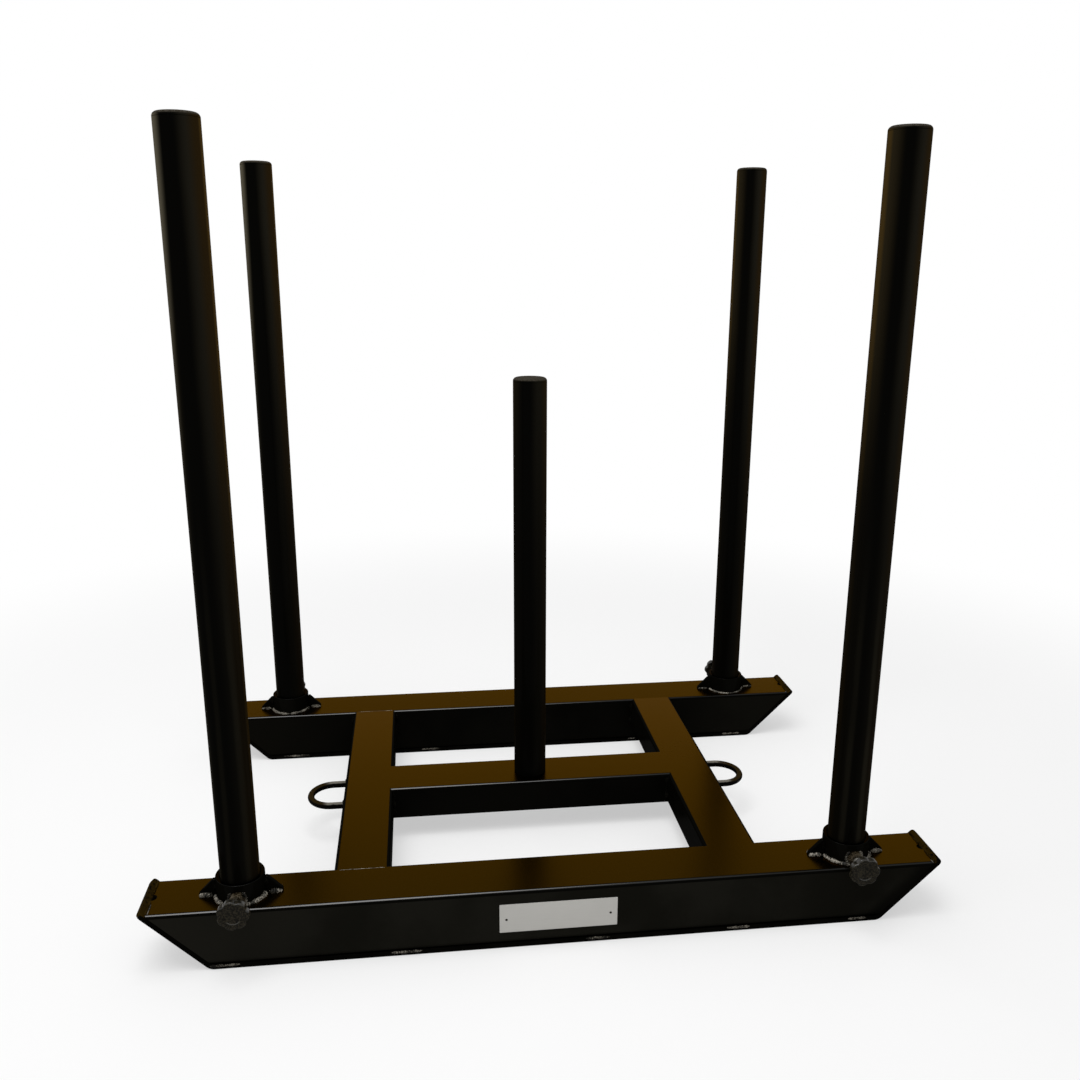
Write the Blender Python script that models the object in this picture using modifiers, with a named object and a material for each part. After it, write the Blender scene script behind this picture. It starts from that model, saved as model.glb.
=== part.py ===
"""Weight sled for pushing and towing.

Two mitred steel skids with bent wear plates are joined by flat tubes. A tall push post stands
in a clamped socket at each corner, and a short loading post stands in the middle.
Lengths are in metres. X runs along the skids, Y across the sled from front to back, Z up.
The origin is on the ground under the middle of the sled.
"""
import math
from dataclasses import dataclass

import bmesh
import bpy
from mathutils import Matrix, Vector

# Seams and running clearances
SEAM = 0.0003
POST_CLEARANCE = 0.001
STUD_CLEARANCE = 0.0004

# Skids: a mitred square tube on a bent wear plate
SKID_LENGTH = 1.029
SLED_WIDTH = 0.634
SKID_WIDTH = 0.078
SKID_TUBE_HEIGHT = 0.074
SKID_TUBE_WALL = 0.004
TUBE_CORNER_RADIUS = 0.005
MITRE_ANGLE = math.radians(45)
WEAR_PLATE_THICKNESS = 0.007
WEAR_PLATE_BEND_RADIUS = 0.008
WEAR_PLATE_TIP_RADIUS = 0.0055
LIP_STAND = 0.007
VENT_RADIUS = 0.0065

# Flat tubes between the skids
CROSS_TUBE_X = 0.2475
CROSS_TUBE_WIDTH = 0.072
MIDDLE_TUBE_WIDTH = 0.078
FLAT_TUBE_HEIGHT = 0.050
FLAT_TUBE_WALL = 0.004

# Posts and their caps
POST_DIAMETER = 0.0483
POST_WALL = 0.0035
PUSH_POST_INSET = 0.1195
PUSH_POST_TOP = 0.994
CENTRE_POST_TOP = 0.690
CAP_HEIGHT = 0.0055
CAP_SHOULDER_RADIUS = 0.004
CAP_CROWN = 0.0008
CAP_PLUG_DEPTH = 0.015

# Sockets and gussets
SOCKET_WALL = 0.005
SOCKET_RISE = 0.028
SOCKET_CHAMFER = 0.001
GUSSET_REACH = 0.021
GUSSET_HEIGHT = 0.0215
GUSSET_THICKNESS = 0.006
GUSSET_NOSE = 0.003

# Clamps: a welded nut, a threaded stud and a lobed knob
CLAMP_RISE = 0.0105
NUT_FLATS = 0.018
NUT_LENGTH = 0.009
STUD_DIAMETER = 0.010
STUD_CHAMFER = 0.001
KNOB_DIAMETER = 0.040
KNOB_DEPTH = 0.010
KNOB_EDGE_RADIUS = 0.003
KNOB_CROWN = 0.001
KNOB_BOSS_DIAMETER = 0.022
KNOB_BOSS_LENGTH = 0.006
KNOB_BORE_DEPTH = 0.012
KNOB_STANDOFF = 0.011
KNOB_LOBES = 7
SCALLOP_RADIUS = 0.006
SCALLOP_DEPTH = 0.0022

# Tow loops
LOOP_BAR_DIAMETER = 0.010
LOOP_WIDTH = 0.065
LOOP_REACH = 0.058

# Fineness of round shapes
ROUND_STEPS = 40
SMALL_STEPS = 20
CORNER_STEPS = 4
EDGE_STEPS = 3
LOBE_STEPS = 6
BEND_STEPS = 6
LOOP_STEPS = 16
SMOOTH_ANGLE = math.radians(35)

# Heights and places that follow from the sizes above
SKID_Y = (SLED_WIDTH - SKID_WIDTH) / 2
SKID_TUBE_BOTTOM = WEAR_PLATE_THICKNESS + SEAM
SKID_TOP = SKID_TUBE_BOTTOM + SKID_TUBE_HEIGHT
SKID_FLOOR = SKID_TUBE_BOTTOM + SKID_TUBE_WALL
PUSH_POST_X = SKID_LENGTH / 2 - PUSH_POST_INSET
FOOT_HEIGHT = SKID_FLOOR + SEAM
POST_RADIUS = POST_DIAMETER / 2
SOCKET_BORE_RADIUS = POST_RADIUS + POST_CLEARANCE
SOCKET_RADIUS = SOCKET_BORE_RADIUS + SOCKET_WALL
CLAMP_HEIGHT = SKID_TOP + CLAMP_RISE
NUT_BACK = SOCKET_RADIUS + SEAM
KNOB_BACK = NUT_BACK + NUT_LENGTH + KNOB_STANDOFF
STUD_BORE_RADIUS = STUD_DIAMETER / 2 + STUD_CLEARANCE
CROSS_TUBE_SIDE = CROSS_TUBE_X + CROSS_TUBE_WIDTH / 2


@dataclass(frozen=True)
class Corner:
    """One of the four corners of the sled, where a push post stands."""

    name: str
    side_x: int
    side_y: int

    @property
    def centre(self):
        """Foot of the post's axis, on the ground."""
        return Vector((self.side_x * PUSH_POST_X, self.side_y * SKID_Y, 0.0))

    @property
    def turn(self):
        """Turn about Z that points local -Y away from the sled."""
        return 0.0 if self.side_y < 0 else math.pi


CORNERS = (
    Corner("front_left", -1, -1),
    Corner("front_right", 1, -1),
    Corner("back_left", -1, 1),
    Corner("back_right", 1, 1),
)


def clear_scene():
    """Remove every object, so that only the sled is left."""
    for old in list(bpy.data.objects):
        bpy.data.objects.remove(old)


def new_collection(name):
    """Collection of the given name, linked to the scene."""
    collection = bpy.data.collections.new(name)
    bpy.context.scene.collection.children.link(collection)
    return collection


def make_material(name, colour, roughness, metallic):
    """Principled material of one colour, roughness and metallic value."""
    material = bpy.data.materials.new(name)
    material.use_nodes = True
    shader = material.node_tree.nodes["Principled BSDF"]
    shader.inputs["Base Color"].default_value = (*colour, 1.0)
    shader.inputs["Roughness"].default_value = roughness
    shader.inputs["Metallic"].default_value = metallic
    return material


def frame_paint():
    """Satin black powder coat of the welded frame."""
    return make_material("frame_paint", (0.012, 0.011, 0.009), 0.42, 0.0)


def wear_plate_paint():
    """Powder coat of the wear plates, duller than the frame's."""
    return make_material("wear_plate_paint", (0.010, 0.009, 0.008), 0.55, 0.0)


def post_paint():
    """Smooth black powder coat of the posts."""
    return make_material("post_paint", (0.014, 0.013, 0.011), 0.38, 0.0)


def cap_plastic():
    """Black moulded plastic of the end caps."""
    return make_material("cap_plastic", (0.020, 0.018, 0.015), 0.45, 0.0)


def knob_plastic():
    """Charcoal grained plastic of the knobs."""
    return make_material("knob_plastic", (0.040, 0.037, 0.032), 0.60, 0.0)


def stud_steel():
    """Zinc-plated steel of the clamp studs."""
    return make_material("stud_steel", (0.45, 0.44, 0.42), 0.35, 1.0)


def add_object(name, data, collection, material=None):
    """Object that shows the data, in its collection and material."""
    thing = bpy.data.objects.new(name, data)
    collection.objects.link(thing)
    if material and not data.materials:
        data.materials.append(material)
    return thing


def smooth_rounds(mesh):
    """Shade the mesh smooth, with sharp edges kept where faces meet steeply."""
    mesh.shade_smooth()
    mesh.set_sharp_from_angle(angle=SMOOTH_ANGLE)
    return mesh


def evaluated_mesh(thing):
    """Mesh of the object as its modifiers leave it; the object itself is removed."""
    depsgraph = bpy.context.evaluated_depsgraph_get()
    mesh = bpy.data.meshes.new_from_object(thing.evaluated_get(depsgraph))
    bpy.data.objects.remove(thing)
    return mesh


def weld_mesh(mesh):
    """Join the coincident points that a curve leaves between its caps and its wall."""
    shape = bmesh.new()
    shape.from_mesh(mesh)
    bmesh.ops.remove_doubles(shape, verts=shape.verts, dist=SEAM / 30)
    bmesh.ops.recalc_face_normals(shape, faces=shape.faces)
    shape.to_mesh(mesh)
    shape.free()
    return mesh


def circle(radius, steps):
    """Points of a circle about the origin."""
    angles = [math.tau * step / steps for step in range(steps)]
    return [Vector((radius * math.cos(angle), radius * math.sin(angle))) for angle in angles]


def rounded_rectangle(width, height, radius):
    """Outline of a rectangle with rounded corners, centred on the origin."""
    points = []
    for quarter, (across, up) in enumerate(((1, 1), (-1, 1), (-1, -1), (1, -1))):
        centre = Vector((across * (width / 2 - radius), up * (height / 2 - radius)))
        for step in range(CORNER_STEPS + 1):
            angle = (quarter + step / CORNER_STEPS) * math.pi / 2
            points.append(centre + radius * Vector((math.cos(angle), math.sin(angle))))
    return points


def plate_mesh(name, outlines, thickness):
    """Flat solid about z = 0; the first outline is its rim and any others are holes."""
    curve = bpy.data.curves.new(name, "CURVE")
    curve.dimensions = "2D"
    curve.fill_mode = "BOTH"
    curve.extrude = thickness / 2
    for outline in outlines:
        spline = curve.splines.new("POLY")
        spline.points.add(len(outline) - 1)
        for point, place in zip(spline.points, outline):
            point.co = (place[0], place[1], 0.0, 1.0)
        spline.use_cyclic_u = True
    guide = bpy.data.objects.new(name, curve)
    bpy.context.scene.collection.objects.link(guide)
    return smooth_rounds(weld_mesh(evaluated_mesh(guide)))


def turned_mesh(name, profile, steps, closed=False):
    """Shape turned about Z from (radius, height) points that run down its outer side."""
    edges = [(index, index + 1) for index in range(len(profile) - 1)]
    if closed:
        edges.append((len(profile) - 1, 0))
    line = bpy.data.meshes.new(name)
    line.from_pydata([(radius, 0.0, height) for radius, height in profile], edges, [])
    guide = bpy.data.objects.new(name, line)
    bpy.context.scene.collection.objects.link(guide)
    screw = guide.modifiers.new("Turn", "SCREW")
    screw.steps = steps
    screw.render_steps = steps
    screw.use_merge_vertices = True
    screw.merge_threshold = SEAM / 30
    return smooth_rounds(evaluated_mesh(guide))


def tube_mesh(name, width, height, wall, length):
    """Rectangular tube along local Z, with rounded edges outside and in."""
    outer = rounded_rectangle(width, height, TUBE_CORNER_RADIUS)
    inner_radius = max(TUBE_CORNER_RADIUS - wall, wall / 4)
    inner = rounded_rectangle(width - 2 * wall, height - 2 * wall, inner_radius)
    return plate_mesh(name, (outer, inner), length)


def cylinders_mesh(name, radius, length, places, steps=ROUND_STEPS):
    """Cylinders along local Z at the given matrices, in one mesh."""
    shape = bmesh.new()
    for place in places:
        bmesh.ops.create_cone(
            shape, cap_ends=True, segments=steps, radius1=radius, radius2=radius, depth=length, matrix=place
        )
    mesh = bpy.data.meshes.new(name)
    shape.to_mesh(mesh)
    shape.free()
    return mesh


def join_meshes(name, meshes):
    """One mesh that holds copies of all the meshes."""
    shape = bmesh.new()
    for mesh in meshes:
        shape.from_mesh(mesh)
    joined = bpy.data.meshes.new(name)
    shape.to_mesh(joined)
    shape.free()
    return joined


def add_cutter(name, mesh, collection):
    """Object that only shapes others and is not part of the sled."""
    cutter = add_object(name, mesh, collection)
    cutter.hide_render = True
    cutter.display_type = "WIRE"
    return cutter


def cut(thing, cutter, operation="DIFFERENCE"):
    """Shape the object with the cutter."""
    boolean = thing.modifiers.new(cutter.name, "BOOLEAN")
    boolean.operation = operation
    boolean.solver = "EXACT"
    boolean.object = cutter


def slope_normal():
    """Direction in XZ that points out of the right-hand mitred end."""
    return Vector((math.sin(MITRE_ANGLE), -math.cos(MITRE_ANGLE)))


def slope_direction():
    """Direction in XZ that runs up the right-hand mitred end."""
    return Vector((math.cos(MITRE_ANGLE), math.sin(MITRE_ANGLE)))


def bend_centre():
    """Centre in XZ of the wear plate's right-hand bend."""
    height = WEAR_PLATE_THICKNESS + WEAR_PLATE_BEND_RADIUS
    reach = SKID_LENGTH / 2 - height * slope_normal().x - slope_length() * slope_direction().x
    return Vector((reach, height))


def slope_length():
    """Length of the wear plate's slope, from the end of its bend to its tip."""
    bend_rise = WEAR_PLATE_BEND_RADIUS * (1 - math.cos(MITRE_ANGLE))
    rise = SKID_TOP - WEAR_PLATE_THICKNESS - bend_rise
    return rise / math.sin(MITRE_ANGLE) + LIP_STAND


def tube_end_x():
    """Reach of the skid tube's end at its top face."""
    start = bend_centre() + (WEAR_PLATE_BEND_RADIUS - SEAM) * slope_normal()
    return start.x + (SKID_TOP - start.y) / math.tan(MITRE_ANGLE)


def skid_side_outline():
    """Outline in XZ that the skid tubes are trimmed to, clear of the wear plate's bends."""
    clear_radius = WEAR_PLATE_BEND_RADIUS - SEAM
    corner_angle = MITRE_ANGLE * 3 / 4 - math.pi / 2
    corner_reach = clear_radius / math.cos(MITRE_ANGLE / 4)
    corner = bend_centre() + corner_reach * Vector((math.cos(corner_angle), math.sin(corner_angle)))
    top = corner + slope_direction() * SKID_TOP / math.sin(MITRE_ANGLE)
    foot = Vector((corner.x - corner.y / math.tan(MITRE_ANGLE / 2), 0.0))
    right = [foot, corner, top]
    left = [Vector((-point.x, point.y)) for point in reversed(right)]
    return right + left


def skid_end_cutter(collection):
    """Block with mitred ends that covers both skids."""
    mesh = plate_mesh("skid_ends", (skid_side_outline(),), SLED_WIDTH + SKID_WIDTH)
    mesh.transform(Matrix.Rotation(math.pi / 2, 4, "X"))
    return add_cutter("skid_ends", mesh, collection)


def skid_hole_cutter(collection):
    """Cylinders that open the skids' top walls for the sockets and the vents."""
    depth = 3 * SKID_TUBE_WALL
    sockets = []
    vents = []
    for corner in CORNERS:
        height = Vector((0.0, 0.0, SKID_TOP))
        sockets.append(Matrix.Translation(corner.centre + height))
        vent = Vector((corner.side_x * tube_end_x(), corner.side_y * SKID_Y, SKID_TOP))
        vents.append(Matrix.Translation(vent))
    socket_holes = cylinders_mesh("socket_holes", SOCKET_RADIUS + SEAM, depth, sockets)
    vent_holes = cylinders_mesh("vent_holes", VENT_RADIUS, depth, vents, SMALL_STEPS)
    return add_cutter("skid_holes", join_meshes("skid_holes", (socket_holes, vent_holes)), collection)


def add_skid_tubes(parts, cutters, paint):
    """Two square tubes with mitred ends, open at the top for the sockets and the vents."""
    mesh = tube_mesh("skid_tube", SKID_TUBE_HEIGHT, SKID_WIDTH, SKID_TUBE_WALL, SKID_LENGTH)
    mesh.transform(Matrix.Rotation(math.pi / 2, 4, "Y"))
    ends = skid_end_cutter(cutters)
    holes = skid_hole_cutter(cutters)
    for name, side in (("front_skid_tube", -1), ("back_skid_tube", 1)):
        tube = add_object(name, mesh, parts, paint)
        tube.location = (0.0, side * SKID_Y, SKID_TUBE_BOTTOM + SKID_TUBE_HEIGHT / 2)
        cut(tube, ends, "INTERSECT")
        cut(tube, holes)


def tip_half_width(distance):
    """Half the wear plate's width at a distance from its tip, with rounded corners."""
    inset = WEAR_PLATE_TIP_RADIUS - min(distance, WEAR_PLATE_TIP_RADIUS)
    return SKID_WIDTH / 2 - WEAR_PLATE_TIP_RADIUS + math.sqrt(WEAR_PLATE_TIP_RADIUS**2 - inset**2)


def wear_plate_rows():
    """Rows (x, z, half width) of the plate's underside, from the middle of a skid to its right tip."""
    centre = bend_centre()
    bend_radius = WEAR_PLATE_THICKNESS + WEAR_PLATE_BEND_RADIUS
    rows = []
    for step in range(BEND_STEPS + 1):
        angle = MITRE_ANGLE * step / BEND_STEPS
        point = centre + bend_radius * Vector((math.sin(angle), -math.cos(angle)))
        rows.append((point.x, point.y, SKID_WIDTH / 2))
    tip = point + slope_length() * slope_direction()
    for step in range(CORNER_STEPS, -1, -1):
        distance = WEAR_PLATE_TIP_RADIUS * (1 - math.cos(math.pi / 2 * step / CORNER_STEPS))
        place = tip - distance * slope_direction()
        rows.append((place.x, place.y, tip_half_width(distance)))
    return rows


def wear_plate_mesh():
    """Open sheet along the underside of one skid, bent up both mitred ends."""
    right = wear_plate_rows()
    left = [(-x, z, half_width) for x, z, half_width in reversed(right)]
    shape = bmesh.new()
    last = None
    for x, z, half_width in left + right:
        row = [shape.verts.new((x, side * half_width, z)) for side in (-1, 1)]
        if last:
            shape.faces.new((last[0], last[1], row[1], row[0]))
        last = row
    mesh = bpy.data.meshes.new("wear_plate")
    shape.to_mesh(mesh)
    shape.free()
    return smooth_rounds(mesh)


def add_wear_plates(parts, paint):
    """Two bent plates that the skids slide on."""
    mesh = wear_plate_mesh()
    for name, side in (("front_wear_plate", -1), ("back_wear_plate", 1)):
        plate = add_object(name, mesh, parts, paint)
        plate.location = (0.0, side * SKID_Y, 0.0)
        solidify = plate.modifiers.new("Thickness", "SOLIDIFY")
        solidify.thickness = WEAR_PLATE_THICKNESS
        solidify.offset = -1.0
        solidify.use_even_offset = True


def add_flat_tubes(parts, paint):
    """Two cross tubes between the skids and one middle tube between the cross tubes."""
    height = SKID_TOP - FLAT_TUBE_HEIGHT / 2
    cross_length = SLED_WIDTH - 2 * (SKID_WIDTH + SEAM)
    cross = tube_mesh("cross_tube", CROSS_TUBE_WIDTH, FLAT_TUBE_HEIGHT, FLAT_TUBE_WALL, cross_length)
    cross.transform(Matrix.Rotation(math.pi / 2, 4, "X"))
    for name, side in (("left_cross_tube", -1), ("right_cross_tube", 1)):
        tube = add_object(name, cross, parts, paint)
        tube.location = (side * CROSS_TUBE_X, 0.0, height)
    middle_length = 2 * (CROSS_TUBE_X - CROSS_TUBE_WIDTH / 2 - SEAM)
    middle = tube_mesh("middle_tube", FLAT_TUBE_HEIGHT, MIDDLE_TUBE_WIDTH, FLAT_TUBE_WALL, middle_length)
    middle.transform(Matrix.Rotation(math.pi / 2, 4, "Y"))
    add_object("middle_tube", middle, parts, paint).location = (0.0, 0.0, height)


def post_mesh(name, length):
    """Round tube from z = 0 up to its length."""
    bore = POST_RADIUS - POST_WALL
    profile = [(POST_RADIUS, length), (POST_RADIUS, 0.0), (bore, 0.0), (bore, length)]
    return turned_mesh(name, profile, ROUND_STEPS, closed=True)


def cap_mesh():
    """End cap with a rounded shoulder and a crowned top, and a plug inside the post."""
    shoulder_height = CAP_HEIGHT - CAP_CROWN - CAP_SHOULDER_RADIUS
    shoulder_reach = POST_RADIUS - CAP_SHOULDER_RADIUS
    profile = [(0.0, CAP_HEIGHT)]
    for step in range(EDGE_STEPS + 1):
        angle = math.pi / 2 * (1 - step / EDGE_STEPS)
        reach = shoulder_reach + CAP_SHOULDER_RADIUS * math.cos(angle)
        profile.append((reach, shoulder_height + CAP_SHOULDER_RADIUS * math.sin(angle)))
    plug_radius = POST_RADIUS - POST_WALL - SEAM
    profile += [(POST_RADIUS, 0.0), (plug_radius, 0.0)]
    profile += [(plug_radius, -CAP_PLUG_DEPTH), (0.0, -CAP_PLUG_DEPTH)]
    return turned_mesh("post_cap", profile, ROUND_STEPS)


def add_posts(parts, paint, plastic):
    """Four push posts standing in the sockets and one loading post on the middle tube."""
    cap = cap_mesh()
    push_length = PUSH_POST_TOP - CAP_HEIGHT - SEAM - FOOT_HEIGHT
    push = post_mesh("push_post", push_length)
    for corner in CORNERS:
        lift = bpy.data.objects.new(corner.name + "_post_lift", None)
        parts.objects.link(lift)
        lift.location = corner.centre + Vector((0.0, 0.0, FOOT_HEIGHT))
        post = add_object(corner.name + "_post", push, parts, paint)
        post.parent = lift
        top = add_object(corner.name + "_post_cap", cap, parts, plastic)
        top.parent = lift
        top.location = (0.0, 0.0, push_length + SEAM)
    centre_foot = SKID_TOP + SEAM
    centre_length = CENTRE_POST_TOP - CAP_HEIGHT - SEAM - centre_foot
    centre = add_object("centre_post", post_mesh("centre_post", centre_length), parts, paint)
    centre.location = (0.0, 0.0, centre_foot)
    centre_cap = add_object("centre_post_cap", cap, parts, plastic)
    centre_cap.location = (0.0, 0.0, centre_foot + centre_length + SEAM)


def clamp_matrix(corner):
    """Frame on a corner's clamp axis at the post's axis, with Z pointing away from the sled."""
    place = Matrix.Translation(corner.centre + Vector((0.0, 0.0, CLAMP_HEIGHT)))
    return place @ Matrix.Rotation(corner.turn, 4, "Z") @ Matrix.Rotation(math.pi / 2, 4, "X")


def socket_mesh():
    """Thick round collar from z = 0 up, with a chamfered top."""
    height = SKID_TOP + SOCKET_RISE - FOOT_HEIGHT
    profile = [
        (SOCKET_RADIUS - SOCKET_CHAMFER, height),
        (SOCKET_RADIUS, height - SOCKET_CHAMFER),
        (SOCKET_RADIUS, 0.0),
        (SOCKET_BORE_RADIUS, 0.0),
        (SOCKET_BORE_RADIUS, height),
    ]
    return turned_mesh("socket", profile, ROUND_STEPS, closed=True)


def add_sockets(parts, cutters, paint):
    """Collars that hold the push posts, each bored for its clamp stud."""
    mesh = socket_mesh()
    middle = SOCKET_BORE_RADIUS + SOCKET_WALL / 2
    places = [clamp_matrix(corner) @ Matrix.Translation((0.0, 0.0, middle)) for corner in CORNERS]
    bore_mesh = cylinders_mesh("clamp_bores", STUD_BORE_RADIUS, 3 * SOCKET_WALL, places, SMALL_STEPS)
    bores = add_cutter("clamp_bores", bore_mesh, cutters)
    for corner in CORNERS:
        socket = add_object(corner.name + "_socket", mesh, parts, paint)
        socket.location = corner.centre + Vector((0.0, 0.0, FOOT_HEIGHT))
        cut(socket, bores)


def gusset_mesh():
    """Triangular plate in XZ beside a socket on its right, with blunt tips."""
    outline = [
        (0.0, 0.0),
        (GUSSET_REACH, 0.0),
        (GUSSET_REACH, GUSSET_NOSE),
        (GUSSET_NOSE, GUSSET_HEIGHT),
        (0.0, GUSSET_HEIGHT),
    ]
    mesh = plate_mesh("gusset", (outline,), GUSSET_THICKNESS)
    mesh.transform(Matrix.Rotation(math.pi / 2, 4, "X"))
    return mesh


def add_gussets(parts, paint):
    """Pair of gussets at each socket, standing on the skid."""
    mesh = gusset_mesh()
    offset = SOCKET_RADIUS + SEAM
    for corner in CORNERS:
        for name, side, turn in (("left", -1, math.pi), ("right", 1, 0.0)):
            gusset = add_object(f"{corner.name}_socket_gusset_{name}", mesh, parts, paint)
            gusset.location = corner.centre + Vector((side * offset, 0.0, SKID_TOP + SEAM))
            gusset.rotation_euler = (0.0, 0.0, turn)


def nut_mesh():
    """Hexagon nut along Z from z = 0, with two flats level."""
    corner_radius = NUT_FLATS / 2 / math.cos(math.pi / 6)
    mesh = plate_mesh("clamp_nut", (circle(corner_radius, 6), circle(STUD_BORE_RADIUS, SMALL_STEPS)), NUT_LENGTH)
    mesh.transform(Matrix.Translation((0.0, 0.0, NUT_LENGTH / 2)))
    return mesh


def add_nuts(parts, paint):
    """Nuts welded to the outer sides of the sockets."""
    mesh = nut_mesh()
    for corner in CORNERS:
        nut = add_object(corner.name + "_clamp_nut", mesh, parts, paint)
        nut.matrix_world = clamp_matrix(corner) @ Matrix.Translation((0.0, 0.0, NUT_BACK))


def stud_mesh():
    """Stud along Z from the post's face into the knob, with chamfered ends."""
    start = POST_RADIUS + SEAM
    end = KNOB_BACK + KNOB_BORE_DEPTH - SEAM
    radius = STUD_DIAMETER / 2
    tip_radius = radius - STUD_CHAMFER
    profile = [
        (0.0, end),
        (tip_radius, end),
        (radius, end - STUD_CHAMFER),
        (radius, start + STUD_CHAMFER),
        (tip_radius, start),
        (0.0, start),
    ]
    return turned_mesh("clamp_stud", profile, SMALL_STEPS)


def knob_mesh():
    """Round knob along Z with a boss behind, a blind bore for the stud and rounded edges."""
    radius = KNOB_DIAMETER / 2
    grip_back = KNOB_BACK + KNOB_BOSS_LENGTH
    face = grip_back + KNOB_DEPTH
    front_centre = face - KNOB_CROWN - KNOB_EDGE_RADIUS
    back_centre = grip_back + KNOB_EDGE_RADIUS
    edge_centre = radius - KNOB_EDGE_RADIUS
    profile = [(0.0, face)]
    for step in range(EDGE_STEPS + 1):
        angle = math.pi / 2 * (1 - step / EDGE_STEPS)
        reach = edge_centre + KNOB_EDGE_RADIUS * math.cos(angle)
        profile.append((reach, front_centre + KNOB_EDGE_RADIUS * math.sin(angle)))
    for step in range(EDGE_STEPS + 1):
        angle = -math.pi / 2 * step / EDGE_STEPS
        reach = edge_centre + KNOB_EDGE_RADIUS * math.cos(angle)
        profile.append((reach, back_centre + KNOB_EDGE_RADIUS * math.sin(angle)))
    bore_end = KNOB_BACK + KNOB_BORE_DEPTH
    profile += [(KNOB_BOSS_DIAMETER / 2, grip_back), (KNOB_BOSS_DIAMETER / 2, KNOB_BACK)]
    profile += [(STUD_BORE_RADIUS, KNOB_BACK), (STUD_BORE_RADIUS, bore_end), (0.0, bore_end)]
    return turned_mesh("clamp_knob", profile, KNOB_LOBES * LOBE_STEPS)


def scallop_cutter(collection):
    """Cylinders that cut the finger hollows between the lobes of all four knobs."""
    distance = KNOB_DIAMETER / 2 + SCALLOP_RADIUS - SCALLOP_DEPTH
    middle = KNOB_BACK + KNOB_BOSS_LENGTH + KNOB_DEPTH / 2
    places = []
    for corner in CORNERS:
        for lobe in range(KNOB_LOBES):
            turn = Matrix.Rotation(math.tau * (lobe + 0.5) / KNOB_LOBES, 4, "Z")
            places.append(clamp_matrix(corner) @ turn @ Matrix.Translation((distance, 0.0, middle)))
    mesh = cylinders_mesh("knob_scallops", SCALLOP_RADIUS, KNOB_DEPTH * 1.5, places, SMALL_STEPS)
    return add_cutter("knob_scallops", mesh, collection)


def add_clamps(parts, cutters, steel, plastic):
    """Stud and knob of each clamp, on an empty at the clamp's axis."""
    stud_shape = stud_mesh()
    knob_shape = knob_mesh()
    scallops = scallop_cutter(cutters)
    for corner in CORNERS:
        axis = bpy.data.objects.new(corner.name + "_clamp_axis", None)
        parts.objects.link(axis)
        axis.matrix_world = clamp_matrix(corner)
        stud = add_object(corner.name + "_clamp_stud", stud_shape, parts, steel)
        stud.parent = axis
        knob = add_object(corner.name + "_clamp_knob", knob_shape, parts, plastic)
        knob.parent = axis
        cut(knob, scallops)


def loop_points():
    """Centre line of the right-hand tow loop: two straight legs and a half-round end."""
    half_width = LOOP_WIDTH / 2
    root = CROSS_TUBE_SIDE + SEAM
    arc_centre = CROSS_TUBE_SIDE + LOOP_REACH - LOOP_BAR_DIAMETER / 2 - half_width
    points = [(root, -half_width)]
    for step in range(LOOP_STEPS + 1):
        angle = math.pi * (step / LOOP_STEPS - 0.5)
        points.append((arc_centre + half_width * math.cos(angle), half_width * math.sin(angle)))
    points.append((root, half_width))
    return points


def add_tow_loops(parts, paint):
    """Round-bar loops that a tow strap hooks to, one on each cross tube."""
    curve = bpy.data.curves.new("tow_loop", "CURVE")
    curve.dimensions = "3D"
    curve.bevel_depth = LOOP_BAR_DIAMETER / 2
    curve.bevel_resolution = 2
    curve.use_fill_caps = True
    points = loop_points()
    spline = curve.splines.new("POLY")
    spline.points.add(len(points) - 1)
    for point, (x, y) in zip(spline.points, points):
        point.co = (x, y, 0.0, 1.0)
    for name, turn in (("right_tow_loop", 0.0), ("left_tow_loop", math.pi)):
        loop = add_object(name, curve, parts, paint)
        loop.location = (0.0, 0.0, SKID_TOP - FLAT_TUBE_HEIGHT / 2)
        loop.rotation_euler = (0.0, 0.0, turn)


def build_sled():
    """Model every piece of the sled."""
    clear_scene()
    parts = new_collection("weight_sled")
    cutters = new_collection("weight_sled_cutters")
    paint = frame_paint()
    posts = post_paint()
    add_skid_tubes(parts, cutters, paint)
    add_wear_plates(parts, wear_plate_paint())
    add_flat_tubes(parts, paint)
    add_sockets(parts, cutters, paint)
    add_gussets(parts, paint)
    add_nuts(parts, paint)
    add_posts(parts, posts, cap_plastic())
    add_clamps(parts, cutters, stud_steel(), knob_plastic())
    add_tow_loops(parts, paint)


build_sled()
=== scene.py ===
"""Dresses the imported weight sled: every piece gets its fine shape, its finish and its weld beads.

Lengths are in metres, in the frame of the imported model: X along the skids, Y from front to back, Z up.
"""
import logging
import math
from collections.abc import Callable, Sequence
from dataclasses import dataclass, field
from enum import Enum

import bmesh
import bpy
from mathutils import Matrix, Vector


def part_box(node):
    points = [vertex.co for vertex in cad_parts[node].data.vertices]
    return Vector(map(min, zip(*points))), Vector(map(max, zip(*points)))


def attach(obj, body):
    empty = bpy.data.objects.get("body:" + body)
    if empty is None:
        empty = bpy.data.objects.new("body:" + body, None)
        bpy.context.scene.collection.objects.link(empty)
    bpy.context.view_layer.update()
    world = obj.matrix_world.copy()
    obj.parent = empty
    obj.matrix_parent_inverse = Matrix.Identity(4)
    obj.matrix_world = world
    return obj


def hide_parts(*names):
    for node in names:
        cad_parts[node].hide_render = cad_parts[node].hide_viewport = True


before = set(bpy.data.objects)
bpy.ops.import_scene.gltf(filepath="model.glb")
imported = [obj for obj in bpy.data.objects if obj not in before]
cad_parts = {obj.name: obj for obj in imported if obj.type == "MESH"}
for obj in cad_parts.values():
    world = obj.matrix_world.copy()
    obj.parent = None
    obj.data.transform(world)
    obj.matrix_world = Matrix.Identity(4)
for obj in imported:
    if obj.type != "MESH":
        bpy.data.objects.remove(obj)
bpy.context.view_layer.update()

SHARP_ANGLE = math.radians(38)
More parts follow.
